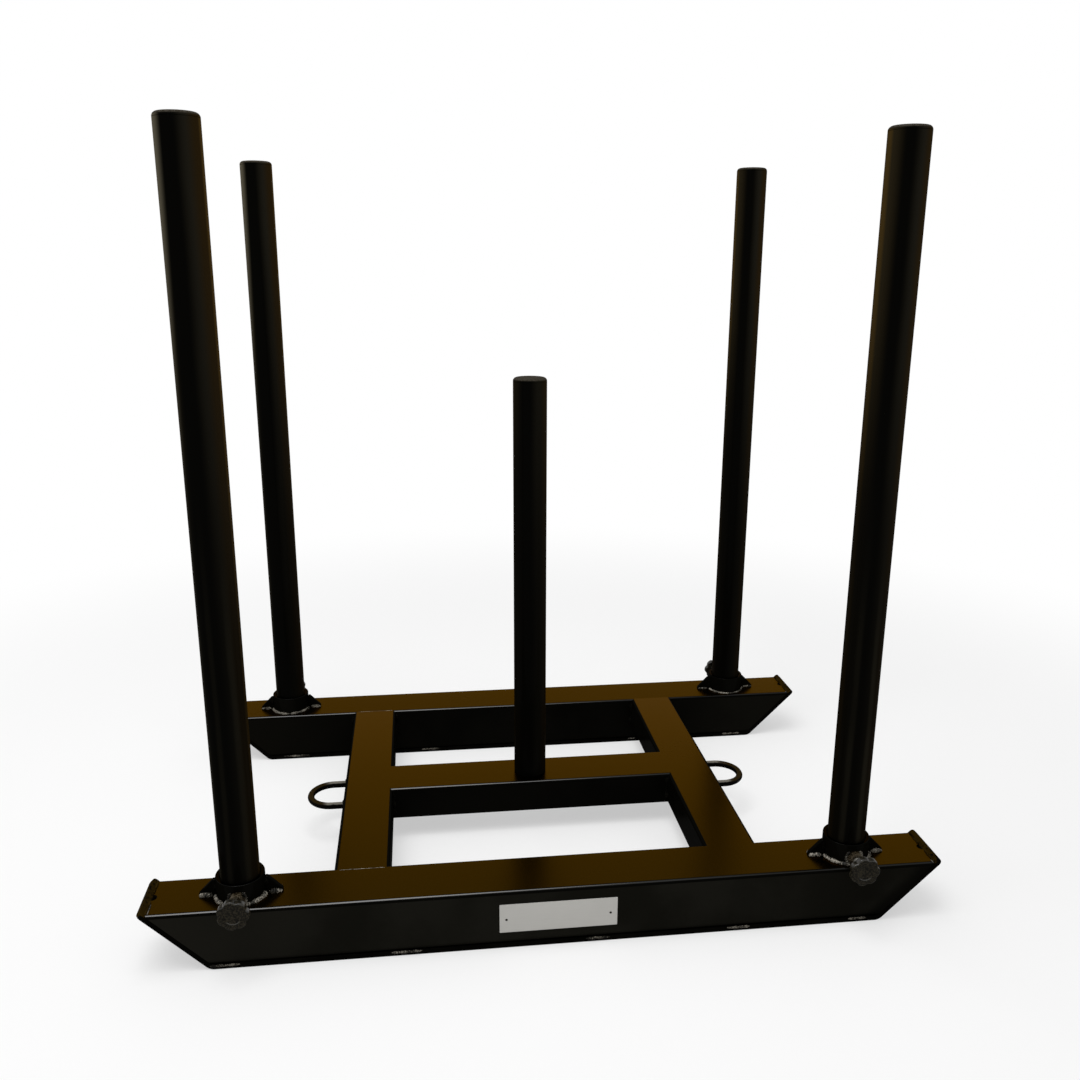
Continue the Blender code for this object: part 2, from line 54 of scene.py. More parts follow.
# Smallest rounding inside a tube, and the ring round an axis that a flat face closes
TIGHTEST_CORNER = 0.001
AXIS_RING = 0.0004
ARC_CHORDS = 24
WHITE = (1.0, 1.0, 1.0, 1.0)
LOG = logging.getLogger("weight_sled")

Colour = tuple[float, float, float]
Triple = tuple[float, float, float]
Point = tuple[float, float]
Range = tuple[float, float]
Ring = list[Vector]
Form = Callable[[float, float, float], float]


class Option(Enum):
    """A named place on the sled."""

    @property
    def label(self) -> str:
        """Word that the names of its nodes and bodies start with."""
        return self.name.lower()


class Corner(Option):
    """Corners of the sled where the push posts stand: side along X, side along Y."""

    FRONT_LEFT = (-1, -1)
    FRONT_RIGHT = (1, -1)
    BACK_LEFT = (-1, 1)
    BACK_RIGHT = (1, 1)

    def centre(self) -> Vector:
        """Foot of the post's axis on the ground."""
        middle = Box(f"{self.label}_post").centre
        return Vector((middle.x, middle.y, 0.0))


class Skid(Option):
    """The two skids, by the sign of Y."""

    FRONT = -1
    BACK = 1


class Side(Option):
    """The two ends of the sled, by the sign of X."""

    LEFT = -1
    RIGHT = 1


# Shader building


class Value:
    """A shader output that takes part in arithmetic by adding Math nodes."""

    def __init__(self, kit: "NodeKit", socket: bpy.types.NodeSocket) -> None:
        self.kit = kit
        self.socket = socket

    def combine(self, operation: str, first: "Value | float", second: "Value | float") -> "Value":
        """Result of one Math node with this operation on the two inputs."""
        return self.kit.node("Math", {"operation": operation}, {0: first, 1: second})

    def __add__(self, other: "Value | float") -> "Value":
        """Sum of the two."""
        return self.combine("ADD", self, other)

    __radd__ = __add__

    def __sub__(self, other: "Value | float") -> "Value":
        """This less the other."""
        return self.combine("SUBTRACT", self, other)

    def __rsub__(self, other: "Value | float") -> "Value":
        """The other less this."""
        return self.combine("SUBTRACT", other, self)

    def __mul__(self, other: "Value | float") -> "Value":
        """Product of the two."""
        return self.combine("MULTIPLY", self, other)

    __rmul__ = __mul__

    def __neg__(self) -> "Value":
        """The value with the other sign."""
        return self * -1.0

    def __abs__(self) -> "Value":
        """Size of the value without its sign."""
        return self.combine("ABSOLUTE", self, 0.0)

    def at_least(self, other: "Value | float") -> "Value":
        """The larger of the two."""
        return self.combine("MAXIMUM", self, other)


class NodeKit:
    """Node tree of a material or a world, with one method that adds any node."""

    def __init__(self, tree: bpy.types.NodeTree) -> None:
        """Start with an empty tree."""
        self.tree = tree
        tree.nodes.clear()

    def node(self, kind: str, settings: dict, inputs: dict, output: int | str = 0) -> Value | None:
        """Add a node.

        Args:
            kind: the node's Blender type without its ShaderNode prefix.
            settings: the node's properties, set first.
            inputs: socket name or number to a value or a link.
            output: which output to return.

        Returns:
            The chosen output, or None for a node without one.
        """
        made = self.tree.nodes.new(f"ShaderNode{kind}")
        for key, value in settings.items():
            setattr(made, key, value)
        for key, value in inputs.items():
            if isinstance(value, Value):
                self.tree.links.new(value.socket, made.inputs[key])
            else:
                made.inputs[key].default_value = value
        return Value(self, made.outputs[output]) if made.outputs else None

    def noise(self, scale: float, detail: float = 2.0, stretch: Triple = (1.0, 1.0, 1.0)) -> Value:
        """Noise over the piece's own coordinates.

        Args:
            scale: repeats per metre.
            detail: octaves of finer noise.
            stretch: scale along each axis.

        Returns:
            Values around 0.5.
        """
        place = self.node("TexCoord", {}, {}, "Object")
        mapped = self.node("Mapping", {}, {"Vector": place, "Scale": stretch})
        return self.node("TexNoise", {}, {"Vector": mapped, "Scale": scale, "Detail": detail})

    def steps(self, value: Value, low: float, high: float) -> Value:
        """Smooth step that is 0 up to the low value and 1 from the high one."""
        settings = {"interpolation_type": "SMOOTHSTEP"}
        return self.node("MapRange", settings, {"Value": value, "From Min": low, "From Max": high})

    def grown(self, value: Value, low: float, high: float, least: float) -> Value:
        """Smooth step that starts from a least share instead of 0."""
        return least + self.steps(value, low, high) * (1 - least)

    def band(self, value: Value, low: float, high: float, soft: float) -> Value:
        """1 between the low and the high value and 0 outside, with soft edges of a given width."""
        return self.steps(value, low, low + soft) * (1 - self.steps(value, high - soft, high))

    def facing(self, axis: str) -> Value:
        """Part of the surface's direction that lies along one of the piece's axes, X, Y or Z."""
        normal = self.node("TexCoord", {}, {}, "Normal")
        return self.node("SeparateXYZ", {}, {"Vector": normal}, axis)

    def place(self, axis: str) -> Value:
        """Place along one of the frame's axes, X, Y or Z, in metres."""
        point = self.node("TexCoord", {}, {}, "Object")
        return self.node("SeparateXYZ", {}, {"Vector": point}, axis)

    def mix(self, factor: Value | float, first: Value | Colour, second: Value | Colour) -> Value:
        """Blend of two colours, where the factor is the second one's share."""
        colours = [one if isinstance(one, Value) else (*one, 1.0) for one in (first, second)]
        return self.node("Mix", {"data_type": "RGBA"}, {0: factor, 6: colours[0], 7: colours[1]}, 2)

    def bump(self, height: Value, depth: float, strength: float = 1.0) -> Value:
        """Normal bent by a height from 0 to 1, which stands for a depth in metres."""
        return self.node("Bump", {}, {"Height": height, "Distance": depth, "Strength": strength})

    def principled(self, inputs: dict) -> Value:
        """Principled shader with the given sockets."""
        return self.node("BsdfPrincipled", {}, inputs)


@dataclass(frozen=True)
class Finish:
    """A surface finish; each kind builds its own shader.

    A range says where a change starts and where it is complete: in metres along one of the frame's axes,
    in how squarely a face looks along an axis, or in a noise's value. A third number is the least share
    of a growth or the soft width of a band.
    """

    name: str
    slot: str

    def build(self, kit: NodeKit) -> Value:
        """Shader of the finish."""
        raise NotImplementedError

    def material(self) -> bpy.types.Material:
        """Make the finish's material, once.

        Returns:
            The material.
        """
        made = bpy.data.materials.get(self.name)
        if made is None:
            made = bpy.data.materials.new(self.name)
            made.use_nodes = True
            kit = NodeKit(made.node_tree)
            kit.node("OutputMaterial", {}, {"Surface": self.build(kit)})
        return made


@dataclass(frozen=True)
class FramePaint(Finish):
    """Black powder coat: level tops carry a painted brown reflection, upturned edges a painted shade, and
    long edges a glossy line kept to them and faded along X as a painted highlight.
    """

    side: Colour = (0.0027, 0.0025, 0.0017)
    patch: Colour = (0.0016, 0.0015, 0.0010)
    # Painted shade of upturned edges and, where fade is set, of the mitred ends and the feet
    painted_shade: Colour = (0.0016, 0.0015, 0.0010)
    left_end: Colour = (0.0027, 0.0025, 0.0017)
    right_end: Colour = (0.0027, 0.0025, 0.0017)
    # Brown of the metallic level tops, a painted reflection
    top: Colour = (0.0165, 0.0092, 0.0008)
    edge: Colour = (0.87, 0.65, 0.50)
    slope: Range = (0.392, 0.420)
    foot: Range = (0.008, 0.015)
    fade: float = 0.0
    foot_fade: float = 0.8
    roughness: float = 0.26
    edge_gloss: float = 1.0
    edge_dimming: float = 0.66
    clear_gloss: float = 0.015
    level: Range = (0.980, 0.997)
    brow_turn: Range = (0.06, 0.20)
    edge_start: Range = (0.70, 0.77)
    edge_end: Range = (0.93, 0.965)
    lengthwise: Range = (0.20, 0.34)
    dimming: Range = (-0.20, 0.42)
    patches: Range = (0.40, 0.66)
    ends: Range = (0.26, 0.42)
    end_patches: Range = (0.20, 0.55)

    def build(self, kit: NodeKit) -> Value:
        """Build the shader of the coat.

        Args:
            kit: the material's nodes.

        Returns:
            The shader.
        """
        upward = kit.facing("Z")
        # Level faces turn metallic and brown: a painted reflection
        level = kit.steps(upward, *self.level)
        lengthwise = kit.steps(abs(kit.facing("Y")), *self.lengthwise)
        # Painted highlight: the coat's gloss is kept to upturned long edges, then faded along X
        line = kit.steps(upward, *self.edge_start) * (1 - kit.steps(upward, *self.edge_end)) * lengthwise
        line = line * (1 - kit.steps(kit.place("X"), *self.dimming) * self.edge_dimming)
        mottle = kit.noise(9.0, 4.0)
        colour = kit.mix(kit.steps(mottle, *self.patches), self.side, self.patch)
        for way, end in ((-1.0, self.left_end), (1.0, self.right_end)):
            outer = kit.steps(kit.place("X") * way, *self.ends)
            colour = kit.mix(outer * kit.steps(mottle, *self.end_patches), colour, end)
        # Painted shade near the mitred slope and along the foot, as far as fade allows
        slope = kit.steps(kit.place("X") - kit.place("Z"), *self.slope)
        foot = 1 - kit.steps(kit.place("Z"), *self.foot)
        colour = kit.mix((slope + foot * self.foot_fade) * self.fade, colour, self.painted_shade)
        # Painted shade where an edge turns up from the sides, flanking the highlight line
        colour = kit.mix(kit.steps(upward, *self.brow_turn), colour, self.painted_shade)
        colour = kit.mix(level, colour, self.top)
        peel = kit.noise(420.0, 3.0)
        return kit.principled({
            "Base Color": colour,
            "Metallic": level,
            "Roughness": self.roughness + (mottle - 0.5) * 0.08,
            "IOR": 1.0,
            # Specular Tint warms the reflection of the metallic tops, part of their painted reflection
            "Specular Tint": (*self.edge, 1.0),
            "Coat Weight": line * self.edge_gloss + (1 - level) * self.clear_gloss,
            "Coat Roughness": 0.10,
            "Normal": kit.bump(peel, 0.00006, 0.3),
        })


@dataclass(frozen=True)
class LoopPaint(Finish):
    """Satin black coat of the tow loops, with a pale painted highlight on top of their legs and a brown
    painted reflection round their bends.
    """

    colour: Colour = (0.0016, 0.0014, 0.0010)
    painted_highlight: Colour = (0.170, 0.158, 0.132)
    brown: Colour = (0.020, 0.0118, 0.0020)
    bend: Range = (0.308, 0.320)
    crest_turn: Range = (0.62, 0.86)
    brown_turn: Range = (0.45, 0.85)
    crest_fade: float = 0.8

    def build(self, kit: NodeKit) -> Value:
        """Build the shader of the coat.

        Args:
            kit: the material's nodes.

        Returns:
            The shader.
        """
        mottle = kit.noise(180.0, 3.0)
        upward = kit.facing("Z") + (mottle - 0.5) * 0.3
        bend = kit.steps(abs(kit.place("X")), *self.bend)
        # Painted highlight on top of the legs, fading round the bend
        painted_highlight = kit.steps(upward, *self.crest_turn) * (1 - bend * self.crest_fade)
        colour = kit.mix(painted_highlight, self.colour, self.painted_highlight)
        # Painted brown reflection on the upper side of the bends
        colour = kit.mix(kit.steps(upward, *self.brown_turn) * bend, colour, self.brown)
        return kit.principled({
            "Base Color": colour,
            "Roughness": 0.40,
            "IOR": 1.0,
            "Coat Weight": 0.03,
            "Coat Roughness": 0.15,
            "Normal": kit.bump(mottle, 0.00006, 0.3),
        })


@dataclass(frozen=True)
class WearPaint(Finish):
    """Dull black coat of the wear plates, with a brown painted reflection on the upward faces of their tips.
    """

    colour: Colour = (0.0014, 0.0013, 0.0009)
    patch: Colour = (0.0026, 0.0024, 0.0017)
    left_tip: Colour = (0.0215, 0.0125, 0.0018)
    right_tip: Colour = (0.0265, 0.0145, 0.0012)
    lip: Range = (0.0795, 0.0815)
    tip_turn: Range = (0.30, 0.60)
    patches: Range = (0.42, 0.66)
    reflection_patches: Range = (0.78, 1.00)
    middle: Range = (-0.1, 0.1)

    def build(self, kit: NodeKit) -> Value:
        """Build the shader of the coat.

        Args:
            kit: the material's nodes.

        Returns:
            The shader.
        """
        mottle = kit.noise(16.0, 4.0)
        fine = kit.noise(260.0, 3.0)
        tip = kit.steps(kit.place("Z"), *self.lip) * kit.steps(kit.facing("Z"), *self.tip_turn)
        colour = kit.mix(kit.steps(mottle, *self.patches), self.colour, self.patch)
        # Painted brown reflection on the tips' upward faces, in patches
        tip_reflection = kit.mix(kit.steps(kit.place("X"), *self.middle), self.left_tip, self.right_tip)
        colour = kit.mix(tip * kit.steps(fine + mottle, *self.reflection_patches), colour, tip_reflection)
        return kit.principled({
            "Base Color": colour,
            "Roughness": 0.50 + (mottle - 0.5) * 0.16,
            "IOR": 1.0,
            "Coat Weight": 0.008,
            "Coat Roughness": 0.20,
            "Normal": kit.bump(fine, 0.00008, 0.5),
        })


@dataclass(frozen=True)
class PostPaint(Finish):
    """Smooth satin black coat of the posts, with a painted sheen that grows brown towards both sides."""

    colour: Colour = (0.0015, 0.0014, 0.0010)
    soft: Colour = (0.0114, 0.0100, 0.0066)
    brown: Colour = (0.0190, 0.0108, 0.0028)
    rim: Colour = (0.055, 0.031, 0.006)
    near_side: Colour = (0.0150, 0.0112, 0.0052)
    sheen: Colour = (0.083, 0.073, 0.050)
    right_growth: Triple = (0.35, 0.95, 0.22)
    left_growth: Triple = (0.50, 0.90, 0.10)
    streak_growth: Triple = (0.40, 0.60, 0.5)
    right_streak: Triple = (0.22, 0.66, 0.18)
    left_streak: Triple = (-0.66, -0.26, 0.16)
    right_streak_share: float = 0.8
    left_streak_share: float = 0.5
    streak_heights: Range = (0.25, 0.62)
    front_row: Range = (0.10, 0.25)
    left_row: Range = (0.10, 0.35)
    soft_turn: Range = (-0.15, 0.45)
    brown_turn: Range = (0.45, 0.95)
    near_turn: Range = (0.50, 1.02)
    rim_turn: Range = (0.93, 1.0)
    sheen_turn: Range = (0.48, 0.90)
    sheen_heights: Range = (0.55, 1.0)
    sheen_least: float = 0.35
    sheen_lean: float = 0.25
    soft_drift: float = 0.35
    brown_drift: float = 0.6
    left_rim_share: float = 0.55

    def coat(self, kit: NodeKit, mottle: Value) -> Value:
        """Colour of the coat round the post, with its painted sheen, painted reflections and painted rim
        highlights.

        Args:
            kit: the material's nodes.
            mottle: slow unevenness of the coat.

        Returns:
            The colour.
        """
        right = kit.facing("X")
        left = -right
        along = kit.place("X")
        height = kit.place("Z")
        right_share = kit.grown(height, *self.right_growth)
        left_share = kit.grown(height, *self.left_growth)
        turned = right + along * self.soft_drift + (mottle - 0.5) * 0.3
        # Painted sheen on the side that turns right, growing with height
        colour = kit.mix(kit.steps(turned, *self.soft_turn) * right_share, self.colour, self.soft)
        # Painted reflection streaks low on the front posts
        streaks = kit.band(turned, *self.right_streak) * self.right_streak_share
        streaks = streaks + kit.band(turned, *self.left_streak) * self.left_streak_share
        front = kit.steps(-kit.place("Y"), *self.front_row)
        low_front = (1 - kit.steps(height, *self.streak_heights)) * front
        colour = kit.mix(streaks * low_front * kit.grown(mottle, *self.streak_growth), colour, self.soft)
        # Painted brown reflection on the outward side
        outward = right + along.at_least(0.0) * self.brown_drift
        colour = kit.mix(kit.steps(outward, *self.brown_turn) * right_share, colour, self.brown)
        # Painted sheen on the left side
        colour = kit.mix(kit.steps(left, *self.near_turn) * left_share, colour, self.near_side)
        # Painted rim highlights at both edges
        colour = kit.mix(kit.steps(right, *self.rim_turn) * right_share, colour, self.rim)
        left_rim = kit.steps(left, *self.rim_turn) * left_share * self.left_rim_share
        colour = kit.mix(left_rim, colour, self.rim)
        # Painted sheen on the outer side of the left posts, widest near the top
        crown = kit.steps(height, *self.sheen_heights)
        sheen = kit.steps(left - (1 - crown) * self.sheen_lean, *self.sheen_turn)
        sheen = sheen * kit.steps(-along, *self.left_row)
        sheen = sheen * (self.sheen_least + crown * (1 - self.sheen_least))
        return kit.mix(sheen, colour, self.sheen)

    def build(self, kit: NodeKit) -> Value:
        """Build the shader of the coat.

        Args:
            kit: the material's nodes.

        Returns:
            The shader.
        """
        mottle = kit.noise(14.0, 4.0, (1.0, 1.0, 0.3))
        return kit.principled({
            "Base Color": self.coat(kit, mottle),
            "Roughness": 0.32 + (mottle - 0.5) * 0.12,
            "IOR": 1.0,
            "Coat Weight": 0.012,
            "Coat Roughness": 0.15,
            "Normal": kit.bump(kit.noise(600.0, 2.0), 0.00005, 0.3),
        })


@dataclass(frozen=True)
class CapPlastic(PostPaint):
    """Black plastic of the caps, with the same painted sheen as their posts and a painted highlight over the
    shoulder.
    """

    painted_highlight: Colour = (0.046, 0.041, 0.032)
    hollow: Colour = (0.024, 0.0205, 0.0145)
    shoulder: Range = (0.30, 0.62)
    grains: Range = (0.30, 0.70)

    def build(self, kit: NodeKit) -> Value:
        """Build the shader of the plastic.

        Args:
            kit: the material's nodes.

        Returns:
            The shader.
        """
        mottle = kit.noise(14.0, 4.0, (1.0, 1.0, 0.3))
        grain = kit.noise(420.0, 3.0)
        # Painted highlight over the shoulder and top, grained by noise
        upper = kit.steps(kit.facing("Z"), *self.shoulder)
        painted_highlight = kit.mix(kit.steps(grain, *self.grains), self.hollow, self.painted_highlight)
        return kit.principled({
            "Base Color": kit.mix(upper, self.coat(kit, mottle), painted_highlight),
            "Roughness": 0.44 + (grain - 0.5) * 0.2,
            "IOR": 1.0,
            "Coat Weight": 0.010,
            "Coat Roughness": 0.25,
            "Normal": kit.bump(grain, 0.00008, 0.6),
        })


@dataclass(frozen=True)
class WeldMetal(Finish):
    """Weld beads in black coat, with brighter patches set by noise that are painted highlights."""

    hollow: Colour = (0.006, 0.0055, 0.004)
    dull: Colour = (0.055, 0.050, 0.038)
    painted_highlight: Colour = (0.31, 0.285, 0.24)
    shine: float = 0.20
    highlight_patches: Range = (0.66, 0.76)
    patches: Range = (0.38, 0.50)

    def build(self, kit: NodeKit) -> Value:
        """Build the shader of the beads.

        Args:
            kit: the material's nodes.

        Returns:
            The shader.
        """
        spread = kit.noise(75.0, 2.0)
        fine = kit.noise(640.0, 3.0)
        dull = kit.steps(spread + (fine - 0.5) * 0.9, *self.patches)
        # Painted highlights: bright patches set by noise
        bright = kit.steps(spread * 0.6 + fine * 0.75, *self.highlight_patches)
        colour = kit.mix(bright, kit.mix(dull, self.hollow, self.dull), self.painted_highlight)
        return kit.principled({
            "Base Color": colour,
            "Roughness": 0.45 - bright * 0.12,
            "Specular IOR Level": self.shine,
            "Normal": kit.bump(fine, 0.0004, 0.7),
        })


@dataclass(frozen=True)
class MouldedPlastic(Finish):
    """Black moulded plastic with a coarse grain and a glint on its upper edges."""

    colour: Colour = (0.0040, 0.0036, 0.0025)
    fleck: Colour = (0.0235, 0.0200, 0.0125)
    grain: float = 560.0
    depth: float = 0.00016
    gloss: float = 0.008
    glint: float = 0.75
    flecks: Range = (0.42, 0.62)
    upper: Triple = (0.30, 0.92, 0.18)

    def build(self, kit: NodeKit) -> Value:
        """Build the shader of the plastic.

        Args:
            kit: the material's nodes.

        Returns:
            The shader.
        """
        grain = kit.noise(self.grain, 3.0)
        upper = kit.band(kit.facing("Z"), *self.upper)
        return kit.principled({
            "Base Color": kit.mix(kit.steps(grain, *self.flecks), self.colour, self.fleck),
            "Roughness": 0.46 + (grain - 0.5) * 0.2,
            "Specular IOR Level": 0.04,
            "Coat Weight": self.gloss + upper * self.glint,
            "Coat Roughness": 0.22,
            "Normal": kit.bump(grain, self.depth, 0.8),
        })


@dataclass(frozen=True)
class ZincSteel(Finish):
    """Zinc-plated steel, slightly cloudy."""

    colour: Colour = (0.14, 0.135, 0.12)
    cloudy: Colour = (0.06, 0.058, 0.05)

    def build(self, kit: NodeKit) -> Value:
        """Build the shader of the plating.

        Args:
            kit: the material's nodes.

        Returns:
            The shader.
        """
        cloud = kit.noise(240.0, 4.0)
        return kit.principled({
            "Base Color": kit.mix(cloud * 0.6, self.colour, self.cloudy),
            "Metallic": 1.0,
            "Roughness": 0.30 + cloud * 0.15,
        })


@dataclass(frozen=True)
class BrushedMetal(Finish):
    """Brushed light metal with its scratches along X."""

    colour: Colour = (0.39, 0.382, 0.358)
    bright: Colour = (0.53, 0.52, 0.495)

    def build(self, kit: NodeKit) -> Value:
        """Build the shader of the brushed face.

        Args:
            kit: the material's nodes.

        Returns:
            The shader.
        """
        lines = kit.noise(1500.0, 3.0, (0.02, 1.0, 1.0))
        cloud = kit.noise(30.0, 3.0)
        return kit.principled({
            "Base Color": kit.mix(lines * 0.4 + cloud * 0.3, self.colour, self.bright),
            "Metallic": 0.80,
            "Roughness": 0.36 + (lines - 0.5) * 0.2,
            "Normal": kit.bump(lines, 0.00003, 0.5),
        })


@dataclass(frozen=True)
class FloorPaint(Finish):
    """Plain pale floor that turns to plain white away from the sled."""

    colour: Colour = (0.93, 0.93, 0.93)
    cloud: Colour = (0.915, 0.915, 0.915)
    whitening: Range = (0.9, 1.9)
    veil: float = 0.5

    def build(self, kit: NodeKit) -> Value:
        """Build the shader of the floor.

        Args:
            kit: the material's nodes.

        Returns:
            The shader.
        """
        cloud = kit.noise(3.0, 3.0)
        place = kit.node("TexCoord", {}, {}, "Object")
        reach = kit.node("VectorMath", {"operation": "LENGTH"}, {0: place}, "Value")
        paint = kit.principled({
            "Base Color": kit.mix(cloud * 0.3, self.colour, self.cloud),
            "Roughness": 0.9,
            "Specular IOR Level": 0.0,
        })
        white = kit.node("Emission", {}, {"Color": WHITE, "Strength": 1.0})
        seen = kit.node("LightPath", {}, {}, "Is Camera Ray")
        painted = (1 - kit.steps(reach, *self.whitening)) * (1 - seen * self.veil)
        return kit.node("MixShader", {}, {0: painted, 1: white, 2: paint})


FRAME_PAINT = FramePaint("frame_powder_coat", "frame_paint")
LOOP_PAINT = LoopPaint("loop_powder_coat", "frame_paint")
# Front skid: sides painted lighter than the other tubes as painted light, lighter in patches towards the left
# end and darker towards the right, with painted shade near the mitred ends and feet
FRONT_PAINT = FramePaint(
    "front_skid_powder_coat", "frame_paint", (0.0092, 0.0087, 0.0066), (0.0058, 0.0055, 0.0040),
    left_end=(0.0100, 0.0094, 0.0072), right_end=(0.0046, 0.0043, 0.0031), fade=0.85,
)
BACK_PAINT = FramePaint(
    "back_skid_powder_coat", "frame_paint",
    left_end=(0.0034, 0.0031, 0.0021), right_end=(0.0050, 0.0047, 0.0034), edge=(0.73, 0.585, 0.47),
)
# Collars and gussets: a darker coat with a fainter painted brown reflection on level faces and a fainter
# painted highlight line
SOCKET_PAINT = FramePaint(
    "socket_powder_coat", "frame_paint", (0.0018, 0.0016, 0.0011), top=(0.0036, 0.0026, 0.0010),
    edge=(0.52, 0.50, 0.49), roughness=0.14, edge_gloss=0.12,
)
WEAR_PAINT = WearPaint("wear_plate_coat", "wear_plate_paint")
POST_PAINT = PostPaint("post_coat", "post_paint")
# Bright beads: their light patches are painted highlights
WELD = WeldMetal("weld_beads", "frame_paint")
COATED_WELD = WeldMetal(
    "coated_weld_beads", "frame_paint",
    (0.0016, 0.0015, 0.0010), (0.0050, 0.0046, 0.0034), (0.020, 0.0185, 0.0145), 0.03,
)
BLACK_WELD = WeldMetal(
    "black_weld_beads", "frame_paint",
    (0.0013, 0.0012, 0.0008), (0.0020, 0.0018, 0.0013), (0.0060, 0.0055, 0.0042), 0.0,
)
# Stitch welds: their light patches are painted highlights
STITCH_WELD = WeldMetal(
    "stitch_weld_beads", "frame_paint",
    (0.004, 0.0036, 0.0026), (0.030, 0.027, 0.020), (0.17, 0.155, 0.13), 0.06, (0.68, 0.78),
)
# Nut: brown patches are painted reflections and light ones painted highlights
NUT_COAT = WeldMetal(
    "nut_coat", "frame_paint",
    (0.0036, 0.0030, 0.0018), (0.020, 0.013, 0.005), (0.085, 0.072, 0.050), 0.04, (0.66, 0.78),
)
# Lip welds in the brown of the tops' painted reflection
LIP_WELD = WeldMetal(
    "lip_weld_beads", "frame_paint",
    (0.0100, 0.0058, 0.0008), (0.0215, 0.0122, 0.0014), (0.028, 0.017, 0.004), 0.0,
)
# A dimmer copy of the bright beads, painted shade for beads that catch less light
DIM_WELD = WeldMetal(
    "dim_weld_beads", "frame_paint",
    (0.0045, 0.0040, 0.0028), (0.030, 0.026, 0.018), (0.20, 0.185, 0.155), 0.10,
)
CAP_PLASTIC = CapPlastic("cap_plastic_grain", "cap_plastic")
KNOB_PLASTIC = MouldedPlastic("knob_plastic_grain", "knob_plastic")
ZINC = ZincSteel("zinc_plating", "stud_steel")
RIVET_STEEL = ZincSteel("rivet_steel", "stud_steel", (0.030, 0.028, 0.024), (0.012, 0.011, 0.009))
PLATE_METAL = BrushedMetal("brushed_nameplate", "stud_steel")


# Mesh building


class Box:
    """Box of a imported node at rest."""

    def __init__(self, node: str) -> None:
        """Measure a node.

        Args:
            node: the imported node's name.
        """
        self.low, self.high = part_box(node)
        self.size = self.high - self.low
        self.centre = (self.low + self.high) / 2


def above(height: float) -> Vector:
    """Step straight up."""
    return Vector((0.0, 0.0, height))


def added(name: str, data: bpy.types.ID) -> bpy.types.Object:
    """Add an object to the scene.

    Args:
        name: the object's name.
        data: its mesh, lamp or camera.

    Returns:
        The new object.
    """
    thing = bpy.data.objects.new(name, data)
    bpy.context.scene.collection.objects.link(thing)
    return thing


def rounded(corners: Sequence[Triple], steps: int = 8, closed: bool = True) -> list[Point]:
    """Outline with rounded corners.

    Args:
        corners: across, up and radius of each corner in order; radius 0 stays sharp.
        steps: facets of each rounding.
        closed: the outline returns to its start; otherwise its two ends stay sharp.

    Returns:
        Points along the outline.
    """
    points: list[Point] = []
    count = len(corners)
    for index, (across, up, radius) in enumerate(corners):
        here = Vector((across, up))
        if not radius or (not closed and index in (0, count - 1)):
            points.append((across, up))
            continue
        before = (Vector(corners[index - 1][:2]) - here).normalized()
        after = (Vector(corners[(index + 1) % count][:2]) - here).normalized()
        half = before.angle(after) / 2
        centre = here + (before + after).normalized() * (radius / math.sin(half))
        start = here + before * (radius / math.tan(half)) - centre
        end = here + after * (radius / math.tan(half)) - centre
        sweep = math.pi - 2 * half
        for step in range(steps + 1):
            share = step / steps
            spoke = start * math.sin((1 - share) * sweep) + end * math.sin(share * sweep)
            points.append(tuple(centre + spoke / math.sin(sweep)))
    return points


def rounded_rectangle(width: float, height: float, radius: float, steps: int = 8) -> list[Point]:
    """Outline of a rectangle about the origin, with a number of facets in each rounded corner."""
    x, y = width / 2, height / 2
    return rounded([(x, -y, radius), (x, y, radius), (-x, y, radius), (-x, -y, radius)], steps)


def circle(radius: float, steps: int) -> list[Point]:
    """Points of a circle about the origin."""
    angles = [math.tau * step / steps for step in range(steps)]
    return [(radius * math.cos(angle), radius * math.sin(angle)) for angle in angles]


def spaced(path: Sequence[Vector], step: float) -> list[Vector]:
    """Points at even steps along a path.

    Args:
        path: the path's corners.
        step: distance between points.

    Returns:
        The points, with both ends among them.
    """
    points = [path[0]]
    for start, end in zip(path, path[1:]):
        count = max(1, round((end - start).length / step))
        points += [start.lerp(end, index / count) for index in range(1, count + 1)]
    return points


def arc(centre: Vector, radius: float, start: float, end: float, upright: bool = False) -> list[Vector]:
    """Arc of even chords.

    Args:
        centre: its centre.
        radius: its radius.
        start: first angle in degrees.
        end: last angle in degrees.
        upright: it stands in the XZ plane instead of lying level.

    Returns:
        Points along the arc.
    """
    points = []
    for step in range(ARC_CHORDS + 1):
        angle = math.radians(start + (end - start) * step / ARC_CHORDS)
        across, along = radius * math.cos(angle), radius * math.sin(angle)
        points.append(centre + (Vector((across, 0.0, along)) if upright else Vector((across, along, 0.0))))
    return points


